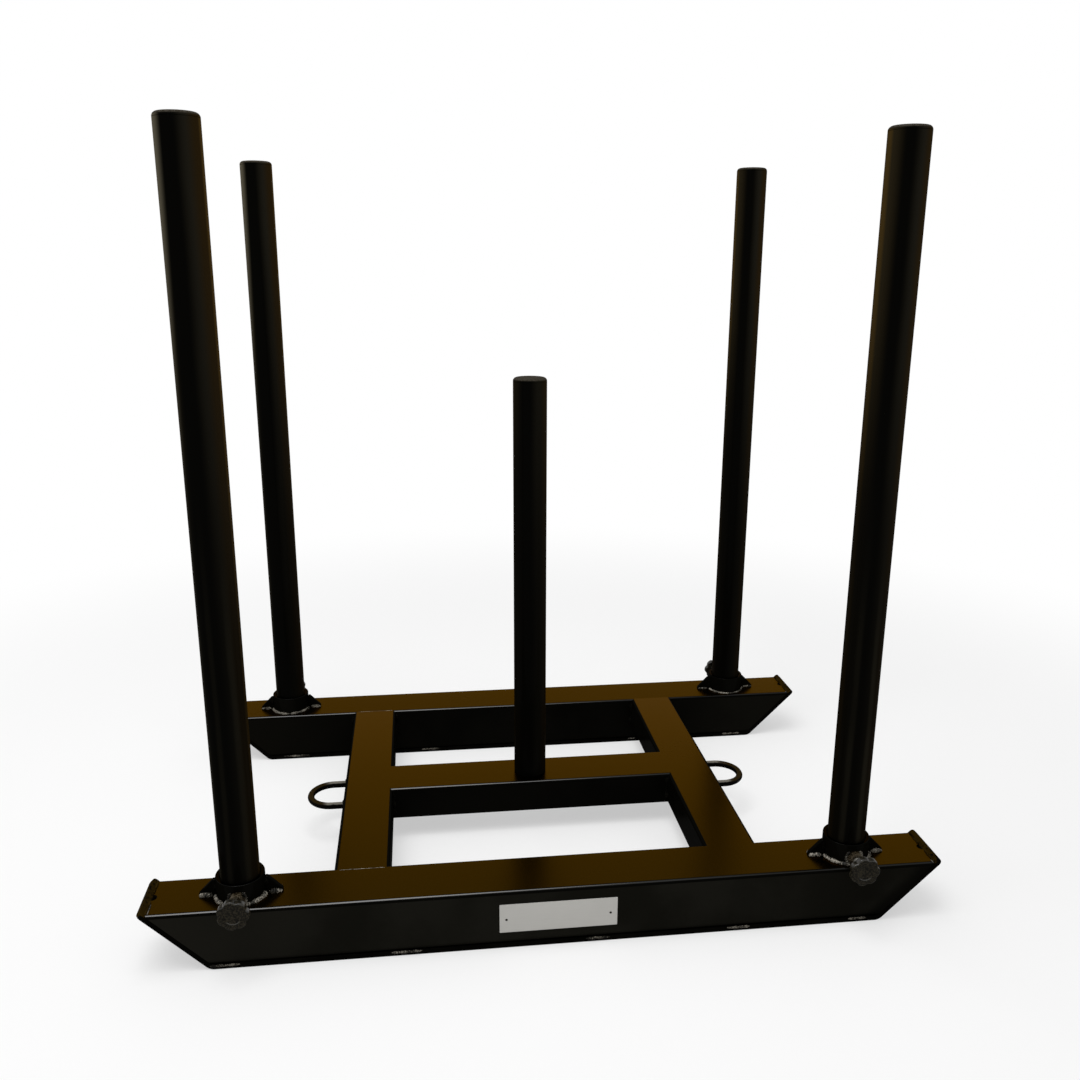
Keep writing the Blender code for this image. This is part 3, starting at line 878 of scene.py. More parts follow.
class Shape:
    """A mesh in the making."""

    def __init__(self) -> None:
        """Start empty."""
        self.mesh = bmesh.new()

    def loft(self, rings: Sequence[Ring], wrap: bool = False) -> "Shape":
        """Join rings of equal counts by quads.

        Args:
            rings: the rings in order.
            wrap: join the last ring to the first instead of closing both ends.

        Returns:
            This shape.
        """
        loops = [[self.mesh.verts.new(point) for point in ring] for ring in rings]
        pairs = list(zip(loops, loops[1:]))
        if wrap:
            pairs.append((loops[-1], loops[0]))
        for first, second in pairs:
            for index in range(len(first)):
                after = (index + 1) % len(first)
                self.mesh.faces.new((first[index], first[after], second[after], second[index]))
        if not wrap:
            self.mesh.faces.new(loops[0])
            self.mesh.faces.new(loops[-1])
        return self

    def turn(
        self, profile: Sequence[Point], steps: int, wrap: bool = False, form: Form | None = None
    ) -> "Shape":
        """Turn a profile about Z.

        Args:
            profile: radius and height of each point.
            steps: facets round the axis.
            wrap: the profile is a closed loop.
            form: radius at a point's own radius, height and angle, where the piece isn't round.

        Returns:
            This shape.
        """
        rings = []
        for radius, height in profile:
            ring = []
            for step in range(steps):
                angle = math.tau * step / steps
                reach = form(radius, height, angle) if form else radius
                ring.append(Vector((reach * math.cos(angle), reach * math.sin(angle), height)))
            rings.append(ring)
        return self.loft(rings, wrap)

    def sweep(self, path: Sequence[Vector], radii: Sequence[float], steps: int) -> "Shape":
        """Round bar along a path.

        Args:
            path: centre points.
            radii: radius at each point.
            steps: facets round the bar.

        Returns:
            This shape.
        """
        rings = []
        side = (path[1] - path[0]).orthogonal()
        for index, (point, radius) in enumerate(zip(path, radii)):
            ahead = (path[min(index + 1, len(path) - 1)] - path[max(index - 1, 0)]).normalized()
            side = (side - ahead * side.dot(ahead)).normalized()
            other = ahead.cross(side)
            rings.append([point + side * x + other * y for x, y in circle(radius, steps)])
        return self.loft(rings)

    def move(self, place: Matrix) -> "Shape":
        """Move everything so far."""
        self.mesh.transform(place)
        return self

    def data(self, name: str) -> bpy.types.Mesh:
        """Finish the mesh, smooth with its steep edges kept sharp.

        Args:
            name: the mesh's name.

        Returns:
            The mesh data.
        """
        bmesh.ops.recalc_face_normals(self.mesh, faces=self.mesh.faces)
        made = bpy.data.meshes.new(name)
        self.mesh.to_mesh(made)
        self.mesh.free()
        made.shade_smooth()
        made.set_sharp_from_angle(angle=SHARP_ANGLE)
        return made


def carved(mesh: bpy.types.Mesh, tool: Shape) -> bpy.types.Mesh:
    """Cut a shape out of a mesh.

    Args:
        mesh: what is cut.
        tool: what is taken away.

    Returns:
        The cut mesh.
    """
    blank = added("blank", mesh)
    cutter = added("cutter", tool.data("cutter"))
    boolean = blank.modifiers.new("Carve", "BOOLEAN")
    boolean.solver = "EXACT"
    boolean.object = cutter
    depsgraph = bpy.context.evaluated_depsgraph_get()
    made = bpy.data.meshes.new_from_object(blank.evaluated_get(depsgraph))
    for thing in (blank, cutter):
        bpy.data.objects.remove(thing)
    made.shade_smooth()
    made.set_sharp_from_angle(angle=SHARP_ANGLE)
    return made


@dataclass
class Piece:
    """A finished piece on its body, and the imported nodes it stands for."""

    name: str
    finish: Finish
    body: str = "frame"
    nodes: tuple[str, ...] = ()
    bevel: float = 0.0
    bevel_steps: int = 3

    def place(self, shape: Shape, tool: Shape | None = None) -> bpy.types.Object:
        """Put the piece on its body.

        Args:
            shape: its mesh in the making.
            tool: what is carved out of it, if anything.

        Returns:
            The new object.
        """
        mesh = shape.data(self.name)
        if tool:
            mesh = carved(mesh, tool)
        thing = added(self.name, mesh)
        mesh.materials.clear()
        mesh.materials.append(self.finish.material())
        if self.bevel:
            soften = thing.modifiers.new("Soft edges", "BEVEL")
            soften.width = self.bevel
            soften.segments = self.bevel_steps
            soften.limit_method = "ANGLE"
            soften.angle_limit = SHARP_ANGLE
        even = thing.modifiers.new("Even shading", "WEIGHTED_NORMAL")
        even.keep_sharp = True
        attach(thing, self.body)
        if self.nodes:
            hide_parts(*self.nodes)
        LOG.info("%s rides on %s", self.name, self.body)
        return thing


@dataclass
class Beads:
    """Weld beads of one group of joints, gathered in one mesh.

    A bead ripples once a pitch and tapers at both ends. Its slow waves, each a size and a pace, keep two
    beads from looking alike.
    """

    name: str
    finish: Finish = WELD
    radius: float = 0.0028
    pitch: float = 0.0030
    ripple: float = 0.11
    ripple_steps: int = 4
    waves: tuple[Point, ...] = ((0.13, 0.37), (0.08, 0.113))
    wave_start: float = 700.0
    tip: float = 0.40
    swelling: float = 0.15
    facets: int = 12
    shape: Shape = field(default_factory=Shape)

    def run(self, path: Sequence[Vector], radius: float | None = None) -> None:
        """Lay one bead.

        Args:
            path: corners of the bead's centre line.
            radius: bead radius, or None for the group's own.
        """
        size = radius or self.radius
        points = spaced(path, self.pitch / self.ripple_steps)
        last = len(points) - 1
        phase = sum(points[0]) * self.wave_start
        radii = []
        for index in range(last + 1):
            ripple = self.ripple * math.cos(math.tau * index / self.ripple_steps)
            for number, (share, pace) in enumerate(self.waves, 1):
                ripple += share * math.sin(index * pace + number * phase)
            radii.append(size * (1 + ripple) * min(1.0, self.tip + self.swelling * min(index, last - index)))
        self.shape.sweep(points, radii, self.facets)

    def place(self) -> None:
        """Put the beads on the frame."""
        Piece(self.name, self.finish).place(self.shape)


# Sub-assemblies


@dataclass
class Runner:
    """One skid: its mitred tube, its bent wear plate and the welds between them."""

    skid: Skid
    stitches: tuple[Point, ...]
    glints: tuple[tuple[Side, float, float], ...]
    wall: float = 0.004
    corner: float = 0.005
    plate: float = 0.007
    plate_edge: float = 0.0012
    plate_edge_steps: int = 4
    bend: float = 0.008
    bend_steps: int = 12
    tip_corner: float = 0.0055
    tip_steps: int = 8
    mitre: float = math.radians(45)
    vent: float = 0.0065
    vent_steps: int = 40
    socket_gap: float = 0.0003
    socket_steps: int = 96
    stitch_weld: float = 0.0014
    lip_weld: float = 0.0015
    glint_weld: float = 0.0007
    lay: float = 0.0002
    lip_lift: float = 0.0003
    lip_inner_gap: float = 0.0012
    lip_outer_gap: float = 0.0035
    glint_lift: float = 0.0004
    glint_gap: float = 0.0028

    def __post_init__(self) -> None:
        """Take the skid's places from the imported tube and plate."""
        self.tube = Box(f"{self.skid.label}_skid_tube")
        self.shoe = Box(f"{self.skid.label}_wear_plate")
        self.middle = self.tube.centre.y
        self.width = self.tube.size.y

    def end_ring(self, side: Side, inset: float) -> Ring:
        """Ring of the tube's mitred end.

        Args:
            side: which end.
            inset: how far inside the outer face the ring lies.

        Returns:
            The ring's points.
        """
        tube = self.tube
        radius = max(self.corner - inset, TIGHTEST_CORNER)
        ring = []
        for across, up in rounded_rectangle(self.width - 2 * inset, tube.size.z - 2 * inset, radius):
            reach = tube.high.x - (tube.high.z - tube.centre.z - up) / math.tan(self.mitre)
            ring.append(Vector((side.value * reach, self.middle + across, tube.centre.z + up)))
        return ring

    def build_tube(self) -> None:
        """Mitred tube, open for the sockets and for the vents at its ends."""
        outer, inner = ([self.end_ring(side, inset) for side in Side] for inset in (0.0, self.wall))
        cutter = Shape()
        for corner in Corner:
            if corner.value[1] == self.skid.value:
                socket = Box(f"{corner.label}_socket").size.x / 2 + self.socket_gap
                self.add_hole(cutter, corner.centre().x, socket, self.socket_steps)
                self.add_hole(cutter, corner.value[0] * self.tube.high.x, self.vent, self.vent_steps)
        label = self.skid.label
        paint = FRONT_PAINT if self.skid is Skid.FRONT else BACK_PAINT
        piece = Piece(f"{label}_skid", paint, nodes=(f"{label}_skid_tube",))
        piece.place(Shape().loft([outer[0], outer[1], inner[1], inner[0]], wrap=True), cutter)

    def add_hole(self, cutter: Shape, x: float, radius: float, steps: int) -> None:
        """Add an upright cylinder through the top wall to a cutter.

        Args:
            cutter: the shape that gathers the cylinders.
            x: the cylinder's place along the skid.
            radius: its radius.
            steps: its facets.
        """
        rings = []
        for height in (self.tube.high.z - 2 * self.wall, self.tube.high.z + self.wall):
            rings.append([Vector((x + a, self.middle + b, height)) for a, b in circle(radius, steps)])
        cutter.loft(rings)

    def stations(self) -> list[tuple[Vector, Vector, float]]:
        """Stations along the right half of the plate.

        Returns:
            Outer point, inward direction and half width of each.
        """
        lean = Vector((-math.sin(self.mitre), 0.0, math.cos(self.mitre)))
        rise = Vector((math.cos(self.mitre), 0.0, math.sin(self.mitre)))
        tip = Vector((self.shoe.high.x, 0.0, self.shoe.high.z - self.plate * math.cos(self.mitre)))
        outer = self.bend + self.plate
        start = tip.x - tip.z / math.tan(self.mitre) - outer * math.tan(self.mitre / 2)
        centre = Vector((start, 0.0, outer))
        made = []
        for step in range(self.bend_steps + 1):
            angle = self.mitre * step / self.bend_steps
            inward = Vector((-math.sin(angle), 0.0, math.cos(angle)))
            made.append((centre - outer * inward, inward, self.width / 2))
        for step in range(self.tip_steps, -1, -1):
            back = self.tip_corner * (1 - math.cos(math.pi / 2 * step / self.tip_steps))
            cut = self.tip_corner - math.sqrt(self.tip_corner**2 - (self.tip_corner - back) ** 2)
            made.append((tip - rise * back, lean, self.width / 2 - cut))
        return made

    def build_plate(self) -> None:
        """Bent wear plate with softened edges and rounded tips."""
        right = self.stations()
        left = [(Vector((-p.x, 0.0, p.z)), Vector((-n.x, 0.0, n.z)), half) for p, n, half in reversed(right)]
        rings = []
        for point, inward, half in left + right:
            ring = []
            outline = rounded_rectangle(2 * half, self.plate, self.plate_edge, self.plate_edge_steps)
            for across, up in outline:
                ring.append(point + inward * (self.plate / 2 + up) + Vector((0.0, self.middle + across, 0.0)))
            rings.append(ring)
        label = self.skid.label
        Piece(f"{label}_bent_plate", WEAR_PAINT, nodes=(f"{label}_wear_plate",)).place(Shape().loft(rings))

    def build_welds(self) -> None:
        """Stitches along the plate's long edges, and fillets and glints inside its lips."""
        bright = Beads(f"{self.skid.label}_stitch_welds", STITCH_WELD, self.stitch_weld)
        height = self.plate - self.stitch_weld
        for edge in (-1, 1):
            y = self.middle + edge * (self.width / 2 + self.lay)
            for x, length in self.stitches:
                bright.run([Vector((x + way * length / 2, y, height)) for way in (-1, 1)])
        # Lip fillets in the brown of the tops' painted reflection
        dark = Beads(f"{self.skid.label}_lip_welds", LIP_WELD, self.lip_weld)
        end, top = self.tube.high.x, self.tube.high.z
        reaches = (self.vent + self.lip_inner_gap, self.width / 2 - self.lip_outer_gap)
        for side in Side:
            x = side.value * (end - self.lay)
            for way in (-1, 1):
                dark.run([Vector((x, self.middle + way * reach, top + self.lip_lift)) for reach in reaches])
        # Glints: short bright beads, painted highlights at the lips' corners
        for side, *reaches in self.glints:
            x = side.value * (end - self.glint_gap)
            line = [Vector((x, self.middle - reach, top + self.glint_lift)) for reach in reaches]
            bright.run(line, self.glint_weld)
        bright.place()
        dark.place()

    def build(self) -> None:
        """Build the whole skid."""
        self.build_tube()
        self.build_plate()
        self.build_welds()


@dataclass
class FlatTubes:
    """Cross tubes and middle tube, with the welds at their ends."""

    wall: float = 0.004
    corner: float = 0.005
    seam: float = 0.0003
    fill_turn: float = 80.0
    fill_steps: int = 6
    groove_steps: int = 8
    corner_weld: float = 0.0040
    corner_weld_top: float = 0.0045
    corner_weld_foot: float = 0.003
    seam_weld: float = 0.0005
    seam_weld_drop: float = 0.0003

    def build_tube(self, node: str, name: str, along: int) -> None:
        """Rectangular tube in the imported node's box.

        Args:
            node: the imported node.
            name: the piece's name.
            along: axis that the tube runs along, 0 for X and 1 for Y.
        """
        box = Box(node)
        across_axis = 1 - along
        rings = []
        for inset, ends in ((0.0, (box.low, box.high)), (self.wall, (box.high, box.low))):
            width, height = box.size[across_axis] - 2 * inset, box.size.z - 2 * inset
            outline = rounded_rectangle(width, height, max(self.corner - inset, TIGHTEST_CORNER))
            for end in ends:
                ring = []
                for across, up in outline:
                    point = above(box.centre.z + up)
                    point[along] = end[along]
                    point[across_axis] = box.centre[across_axis] + across
                    ring.append(point)
                rings.append(ring)
        Piece(name, FRAME_PAINT, nodes=(node,)).place(Shape().loft(rings, wrap=True))

    def fill(self, shape: Shape, origin: Vector, out: Vector, half: float) -> None:
        """Fill the groove between a tube's end and its neighbour's rounded corner, level with the tops.

        Args:
            shape: the shape that gathers the fills.
            origin: middle of the tube's top edge at its end.
            out: level direction from the end towards the neighbour.
            half: half the tube's width.
        """
        along = Vector((-out.y, out.x, 0.0))
        rings = []
        lifts = [math.radians(self.fill_turn * step / self.fill_steps) for step in range(self.fill_steps + 1)]
        for way, order in ((-1, reversed(lifts)), (1, lifts)):
            for lift in order:
                place = origin + along * (way * (half - self.corner + self.corner * math.sin(lift)))
                top = self.corner * (math.cos(lift) - 1)
                first = math.asin(top / self.corner + 1)
                ring = [place + above(top)]
                for step in range(self.groove_steps + 1):
                    angle = math.pi - first + first * step / self.groove_steps
                    reach = self.seam + self.corner + self.corner * math.cos(angle)
                    ring.append(place + out * reach + above(self.corner * (math.sin(angle) - 1)))
                ring.append(place - above(self.corner))
                rings.append(ring)
        shape.loft(rings)

    def build_joints(self) -> None:
        """Flush welds across the tops and round welds down the corners of every tube end."""
        fills = Shape()
        rounds = Beads("corner_welds", BLACK_WELD, self.corner_weld)
        seams = Beads("painted_highlight_seams", radius=self.seam_weld)
        for node, along in (("left_cross_tube", 1), ("right_cross_tube", 1), ("middle_tube", 0)):
            box = Box(node)
            half = box.size[1 - along] / 2
            drops = (-self.corner_weld_top, self.corner_weld_foot - box.size.z)
            for end, way in ((box.low, -1), (box.high, 1)):
                out = above(0.0)
                out[along] = way
                origin = box.centre.copy()
                origin[along] = end[along]
                origin.z = box.high.z
                self.fill(fills, origin, out, half)
                across = Vector((-out.y, out.x, 0.0))
                for side in (-1, 1):
                    rounds.run([origin + across * side * half + above(drop) for drop in drops])
                # Thin weld seams at the left cross tube's ends, whose bright patches paint the skids' edge
                # highlight across the joint
                if node == "left_cross_tube":
                    line = origin + out * self.corner - above(self.seam_weld_drop)
                    seams.run([line + across * side * (half - self.corner) for side in (-1, 1)])
        Piece("flush_top_welds", FRAME_PAINT).place(fills)
        rounds.place()
        seams.place()

    def build(self) -> None:
        """Build the three tubes and their welds."""
        for side in Side:
            self.build_tube(f"{side.label}_cross_tube", f"{side.label}_cross_bar", 1)
        self.build_tube("middle_tube", "middle_bar", 0)
        self.build_joints()


@dataclass
class Post:
    """A round post with its end cap."""

    label: str
    body: str
    wall: float = 0.0035
    inner_edge: float = 0.0003
    outer_edge: float = 0.0005
    edge_steps: int = 3
    cap_gap: float = 0.0003
    cap_edge: float = 0.0002
    plug_gap: float = 0.0004
    plug_edge: float = 0.0005
    shoulder: float = 0.0052
    crown: float = 0.0006
    steps: int = 96

    def __post_init__(self) -> None:
        """Take the post's place from its packed tube."""
        self.box = Box(self.label)
        self.radius = self.box.size.x / 2
        self.place = Matrix.Translation((self.box.centre.x, self.box.centre.y, 0.0))

    def build_tube(self) -> None:
        """Tube with softened ends."""
        bore, low, high = self.radius - self.wall, self.box.low.z, self.box.high.z
        corners = [
            (bore, low, self.inner_edge), (self.radius, low, self.outer_edge),
            (self.radius, high, self.outer_edge), (bore, high, self.inner_edge),
        ]
        tube = Shape().turn(rounded(corners, self.edge_steps), self.steps, wrap=True).move(self.place)
        Piece(f"{self.label}_tube", POST_PAINT, self.body, (self.label,)).place(tube)

    def build_cap(self) -> None:
        """Cap with a rounded shoulder, a crowned top and a plug."""
        cap = Box(f"{self.label}_cap")
        low, high = cap.low.z, cap.high.z
        rim = self.box.high.z + self.cap_gap
        plug = self.radius - self.wall - self.plug_gap
        corners = [
            (AXIS_RING, low, 0.0), (plug, low, self.plug_edge),
            (plug, rim, 0.0), (self.radius, rim, self.cap_edge),
            (self.radius, high - self.crown, self.shoulder), (self.radius / 2, high - self.crown / 3, 0.0),
            (AXIS_RING, high, 0.0),
        ]
        shape = Shape().turn(rounded(corners, closed=False), self.steps).move(self.place)
        Piece(f"{self.label}_end_cap", CAP_PLASTIC, self.body, (f"{self.label}_cap",)).place(shape)

    def build(self) -> None:
        """Build the tube and the cap."""
        self.build_tube()
        self.build_cap()


def clamp_frame(corner: Corner, box: Box) -> Matrix:
    """Frame on a clamp's axis at the inner end of a box, with Z pointing away from the sled.

    Args:
        corner: the clamp's corner.
        box: the box of a piece on the axis.

    Returns:
        The frame's matrix.
    """
    outward = corner.value[1]
    axis = Vector((box.centre.x, box.low.y if outward > 0 else box.high.y, box.centre.z))
    turn = Matrix.Rotation(0.0 if outward < 0 else math.pi, 4, "Z")
    return Matrix.Translation(axis) @ turn @ Matrix.Rotation(math.pi / 2, 4, "X")


@dataclass
class SocketJoint:
    """Collar of a push post with its gussets, its clamp nut and their welds."""

    corner: Corner
    bright_sides: tuple[Side, ...]
    ring_weld: float
    foot_weld: float
    gusset_weld: float = 0.0020
    nut_weld: float = 0.0020
    wall: float = 0.005
    rim: float = 0.0012
    foot_edge: float = 0.0005
    edge_steps: int = 5
    steps: int = 96
    nose: float = 0.003
    gusset_edge: float = 0.0008
    bore_gap: float = 0.0004
    bore_steps: int = 32
    drill_reach: Point = (-0.004, 0.010)
    nut_steps: int = 48
    nut_chamfer: float = 0.0012
    nut_corner: float = 1.2
    nut_face: float = 1.02
    lay: float = 0.0010
    ring_gap: float = 0.002
    foot_start: float = 0.004
    foot_stop: float = 0.0005
    upright_out: float = 0.0008
    upright_lay: float = 0.0006
    upright_gap: float = 0.002
    nut_lay: float = 0.0014
    nut_sink: float = 0.0006
    nut_arcs: tuple[Point, ...] = ((128.0, 228.0), (-48.0, 52.0))

    def __post_init__(self) -> None:
        """Take the joint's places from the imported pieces."""
        label = self.corner.label
        self.socket = Box(f"{label}_socket")
        self.stud = Box(f"{label}_clamp_stud")
        self.nut = Box(f"{label}_clamp_nut")
        self.gussets = {side: Box(f"{label}_socket_gusset_{side.label}") for side in Side}
        self.centre = self.corner.centre()
        self.radius = self.socket.size.x / 2
        self.hole = self.stud.size.z / 2 + self.bore_gap

    def reach(self, side: Side) -> Point:
        """Places along X where a gusset leaves the collar and where it ends."""
        box = self.gussets[side]
        return (box.low.x, box.high.x) if side is Side.RIGHT else (box.high.x, box.low.x)

    def build_collar(self) -> None:
        """Thick collar with softened rims, bored for the stud."""
        bore, low, high = self.radius - self.wall, self.socket.low.z, self.socket.high.z
        corners = [
            (bore, low, self.foot_edge), (self.radius, low, self.foot_edge),
            (self.radius, high, self.rim), (bore, high, self.rim / 2),
        ]
        place = Matrix.Translation(self.centre)
        collar = Shape().turn(rounded(corners, self.edge_steps), self.steps, wrap=True).move(place)
        drill = Shape().turn([(self.hole, height) for height in self.drill_reach], self.bore_steps)
        drill.move(clamp_frame(self.corner, self.stud))
        label = self.corner.label
        Piece(f"{label}_collar", SOCKET_PAINT, nodes=(f"{label}_socket",)).place(collar, drill)

    def build_gussets(self) -> None:
        """Triangular plates on both sides of the collar."""
        for side, box in self.gussets.items():
            inner, outer = self.reach(side)
            low, high = box.low.z, box.high.z
            nose = inner + side.value * self.nose
            outline = [(inner, low), (outer, low), (outer, low + self.nose), (nose, high), (inner, high)]
            rings = [[Vector((x, y, z)) for x, z in outline] for y in (box.low.y, box.high.y)]
            name = f"{self.corner.label}_gusset_{side.label}"
            node = f"{self.corner.label}_socket_gusset_{side.label}"
            Piece(name, SOCKET_PAINT, nodes=(node,), bevel=self.gusset_edge).place(Shape().loft(rings))

    def build_nut(self) -> None:
        """Hexagon nut with its outer corners turned off."""
        flats, length = self.nut.size.z / 2, self.nut.size.y
        corner, face = flats * self.nut_corner, flats * self.nut_face

        def hexagon(limit: float, height: float, angle: float) -> float:
            """Reach of the flats at an angle, held within the turned radius."""
            return min(flats / math.cos(angle % (math.pi / 3) - math.pi / 6), limit)

        profile = [
            (corner, 0.0), (corner, length - self.nut_chamfer), (face, length),
            (self.hole, length), (self.hole, 0.0),
        ]
        nut = Shape().turn(profile, self.nut_steps, wrap=True, form=hexagon)
        nut.move(clamp_frame(self.corner, self.nut))
        label = self.corner.label
        Piece(f"{label}_nut", NUT_COAT, nodes=(f"{label}_clamp_nut",)).place(nut)

    def build_welds(self) -> None:
        """Beads round the collar, along the gussets and beside the nut."""
        label = self.corner.label
        bright = Beads(f"{label}_socket_welds", WELD)
        dim = Beads(f"{label}_dim_socket_welds", DIM_WELD)
        dark = Beads(f"{label}_gusset_welds", BLACK_WELD, self.gusset_weld)
        level = Box("front_skid_tube").high.z + self.lay
        ring = self.centre + above(level)
        half = self.gussets[Side.LEFT].size.y / 2
        swing = math.degrees(math.asin((half + self.ring_gap) / self.radius))
        for side, box in self.gussets.items():
            # Beads on the listed sides carry painted highlights; the others are a dimmer copy
            beads = bright if side in self.bright_sides else dim
            for turn in (0, 180):
                start, end = (swing, 90) if (side is Side.RIGHT) == (turn == 0) else (90, 180 - swing)
                beads.run(arc(ring, self.radius + self.lay, turn + start, turn + end), self.ring_weld)
            near, far = self.reach(side)
            out = side.value
            for edge, way in ((box.low.y, -1), (box.high.y, 1)):
                ends = (near + out * self.foot_start, far - out * self.foot_stop)
                beads.run([Vector((x, edge + way * self.lay, level)) for x in ends], self.foot_weld)
                x, y = near + out * self.upright_out, edge + way * self.upright_lay
                heights = (level + self.upright_gap, box.high.z - self.upright_gap)
                dark.run([Vector((x, y, height)) for height in heights])
        out = self.corner.value[1] * (self.radius - self.nut_sink)
        seat = Vector((self.centre.x, self.centre.y + out, self.nut.centre.z))
        for start, end in self.nut_arcs:
            bead = arc(seat, self.nut.size.z / 2 + self.nut_lay, start, end, upright=True)
            dim.run(bead, self.nut_weld)
        for beads in (bright, dim, dark):
            if beads.shape.mesh.verts:
                beads.place()

    def build(self) -> None:
        """Build the whole joint."""
        self.build_collar()
        self.build_gussets()
        self.build_nut()
        self.build_welds()


@dataclass
class Clamp:
    """Threaded stud and lobed knob of one clamp."""

    corner: Corner
    pitch: float = 0.0015
    pitch_steps: int = 8
    thread: float = 0.0008
    stud_steps: int = 36
    stud_tip: float = 0.80
    stud_taper: float = 0.004
    boss: float = 0.011
    boss_length: float = 0.006
    bore_depth: float = 0.012
    bore_gap: float = 0.0004
    bore_edge: float = 0.0003
    boss_root: float = 0.0005
    soft_edge: float = 0.0008
    edge: float = 0.003
    edge_steps: int = 7
    dish: float = 0.50
    dish_rim: float = 0.56
    dish_depth: float = 0.0008
    lobes: int = 7
    lobe_steps: int = 18
    valley: float = 0.0022

    def __post_init__(self) -> None:
        """Take the clamp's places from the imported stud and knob."""
        self.stud = Box(f"{self.corner.label}_clamp_stud")
        self.knob = Box(f"{self.corner.label}_clamp_knob")

    def build_stud(self) -> None:
        """Stud with its thread cut along its whole length."""
        length = self.stud.size.y
        count = round(length / self.pitch * self.pitch_steps)

        def cut(radius: float, height: float, angle: float) -> float:
            """Reach of the thread, tapered at both ends of the stud.

            Args:
                radius: the stud's radius.
                height: place along the stud.
                angle: angle round it.

            Returns:
                The reach there.
            """
            share = (height / self.pitch - angle / math.tau) % 1.0
            taper = min(1.0, self.stud_tip + min(height, length - height) / self.stud_taper)
            return (radius - self.thread * abs(2 * share - 1)) * taper

        profile = [(self.stud.size.z / 2, length * index / count) for index in range(count + 1)]
        stud = Shape().turn(profile, self.stud_steps, form=cut).move(clamp_frame(self.corner, self.stud))
        node = f"{self.corner.label}_clamp_stud"
        Piece(f"{self.corner.label}_threaded_stud", ZINC, node, (node,)).place(stud)

    def build_knob(self) -> None:
        """Knob with rounded lobes, a dished face and a boss behind."""
        radius, depth = self.knob.size.z / 2, self.knob.size.y
        bore = self.stud.size.z / 2 + self.bore_gap
        floor = depth - self.dish_depth
        corners = [
            (AXIS_RING, self.bore_depth, 0.0), (bore, self.bore_depth, 0.0),
            (bore, 0.0, self.bore_edge), (self.boss, 0.0, self.soft_edge),
            (self.boss, self.boss_length, self.boss_root), (radius, self.boss_length, self.edge),
            (radius, depth, self.edge), (radius * self.dish_rim, depth, self.soft_edge),
            (radius * self.dish, floor, self.soft_edge), (AXIS_RING, floor, 0.0),
        ]

        def lobed(reach: float, height: float, angle: float) -> float:
            """Reach less the valleys between the lobes, which fade out at the boss."""
            share = max(0.0, min(1.0, (reach - self.boss) / (radius - self.boss)))
            return reach - self.valley * share * (0.5 - 0.5 * math.cos(self.lobes * angle)) ** 2

        outline = rounded(corners, self.edge_steps, closed=False)
        knob = Shape().turn(outline, self.lobes * self.lobe_steps, form=lobed)
        knob.move(clamp_frame(self.corner, self.knob))
        node = f"{self.corner.label}_clamp_knob"
        Piece(f"{self.corner.label}_star_knob", KNOB_PLASTIC, node, (node,)).place(knob)

    def build(self) -> None:
        """Build the stud and the knob."""
        self.build_stud()
        self.build_knob()


@dataclass
class TowLoop:
    """Round-bar tow loop of one side, with its welds."""

    side: Side
    steps: int = 32
    weld: float = 0.0022
    weld_out: float = 0.0008
    weld_lay: float = 0.0006
    weld_steps: int = 24

    def build(self) -> None:
        """Build the bent bar and the beads at its roots."""
        label = self.side.label
        box = Box(f"{label}_tow_loop")
        bar = box.size.z / 2
        half = box.size.y / 2 - bar
        level = box.centre.z
        way = self.side.value
        root, reach = sorted((abs(box.low.x), abs(box.high.x)))
        bend = arc(Vector((reach - bar - half, 0.0, level)), half, -90.0, 90.0)
        path = [Vector((root, -half, level)), *bend, Vector((root, half, level))]
        path = [Vector((way * point.x, point.y, point.z)) for point in path]
        loop = Shape().sweep(path, [bar] * len(path), self.steps)
        Piece(f"{label}_bent_loop", LOOP_PAINT, nodes=(f"{label}_tow_loop",)).place(loop)
        beads = Beads(f"{label}_loop_welds", COATED_WELD, self.weld)
        ring = circle(bar + self.weld_lay, self.weld_steps)
        for end in (-half, half):
            spot = Vector((way * (root + self.weld_out), end, level))
            beads.run([spot + Vector((0.0, y, z)) for y, z in ring])
        beads.place()


@dataclass
class Nameplate:
    """Bare brushed plate on the front skid, held by two rivets."""

    centre_x: float = 0.0021
    centre_z: float = 0.0437
    width: float = 0.1516
    height: float = 0.0403
    thickness: float = 0.0010
    corner: float = 0.0008
    corner_steps: int = 4
    edge: float = 0.0002
    rivet: float = 0.0016
    rivet_rise: float = 0.0008
    rivet_reach: float = 0.0670
    rivet_drop: float = 0.0018
    rivet_rings: int = 7
    rivet_steps: int = 24
    rivet_eye: float = 0.0002

    def build(self) -> None:
        """Build the plate and its rivets."""
        face = Box("front_skid_tube").low.y
        outline = rounded_rectangle(self.width, self.height, self.corner, self.corner_steps)
        rings = []
        for y in (face, face - self.thickness):
            rings.append([Vector((self.centre_x + x, y, self.centre_z + z)) for x, z in outline])
        Piece("bare_nameplate", PLATE_METAL, bevel=self.edge).place(Shape().loft(rings))
        rivets = Shape()
        for way in (-1, 1):
            rings = []
            centre = Vector((self.centre_x + way * self.rivet_reach, 0.0, self.centre_z - self.rivet_drop))
            for step in range(self.rivet_rings + 1):
                angle = math.pi / 2 * step / self.rivet_rings
                reach = max(self.rivet * math.cos(angle), self.rivet_eye)
                y = face - self.thickness - self.rivet_rise * math.sin(angle)
                rings.append([centre + Vector((a, y, b)) for a, b in circle(reach, self.rivet_steps)])
            rivets.loft(rings)
        Piece("nameplate_rivets", RIVET_STEEL).place(rivets)


# Studio


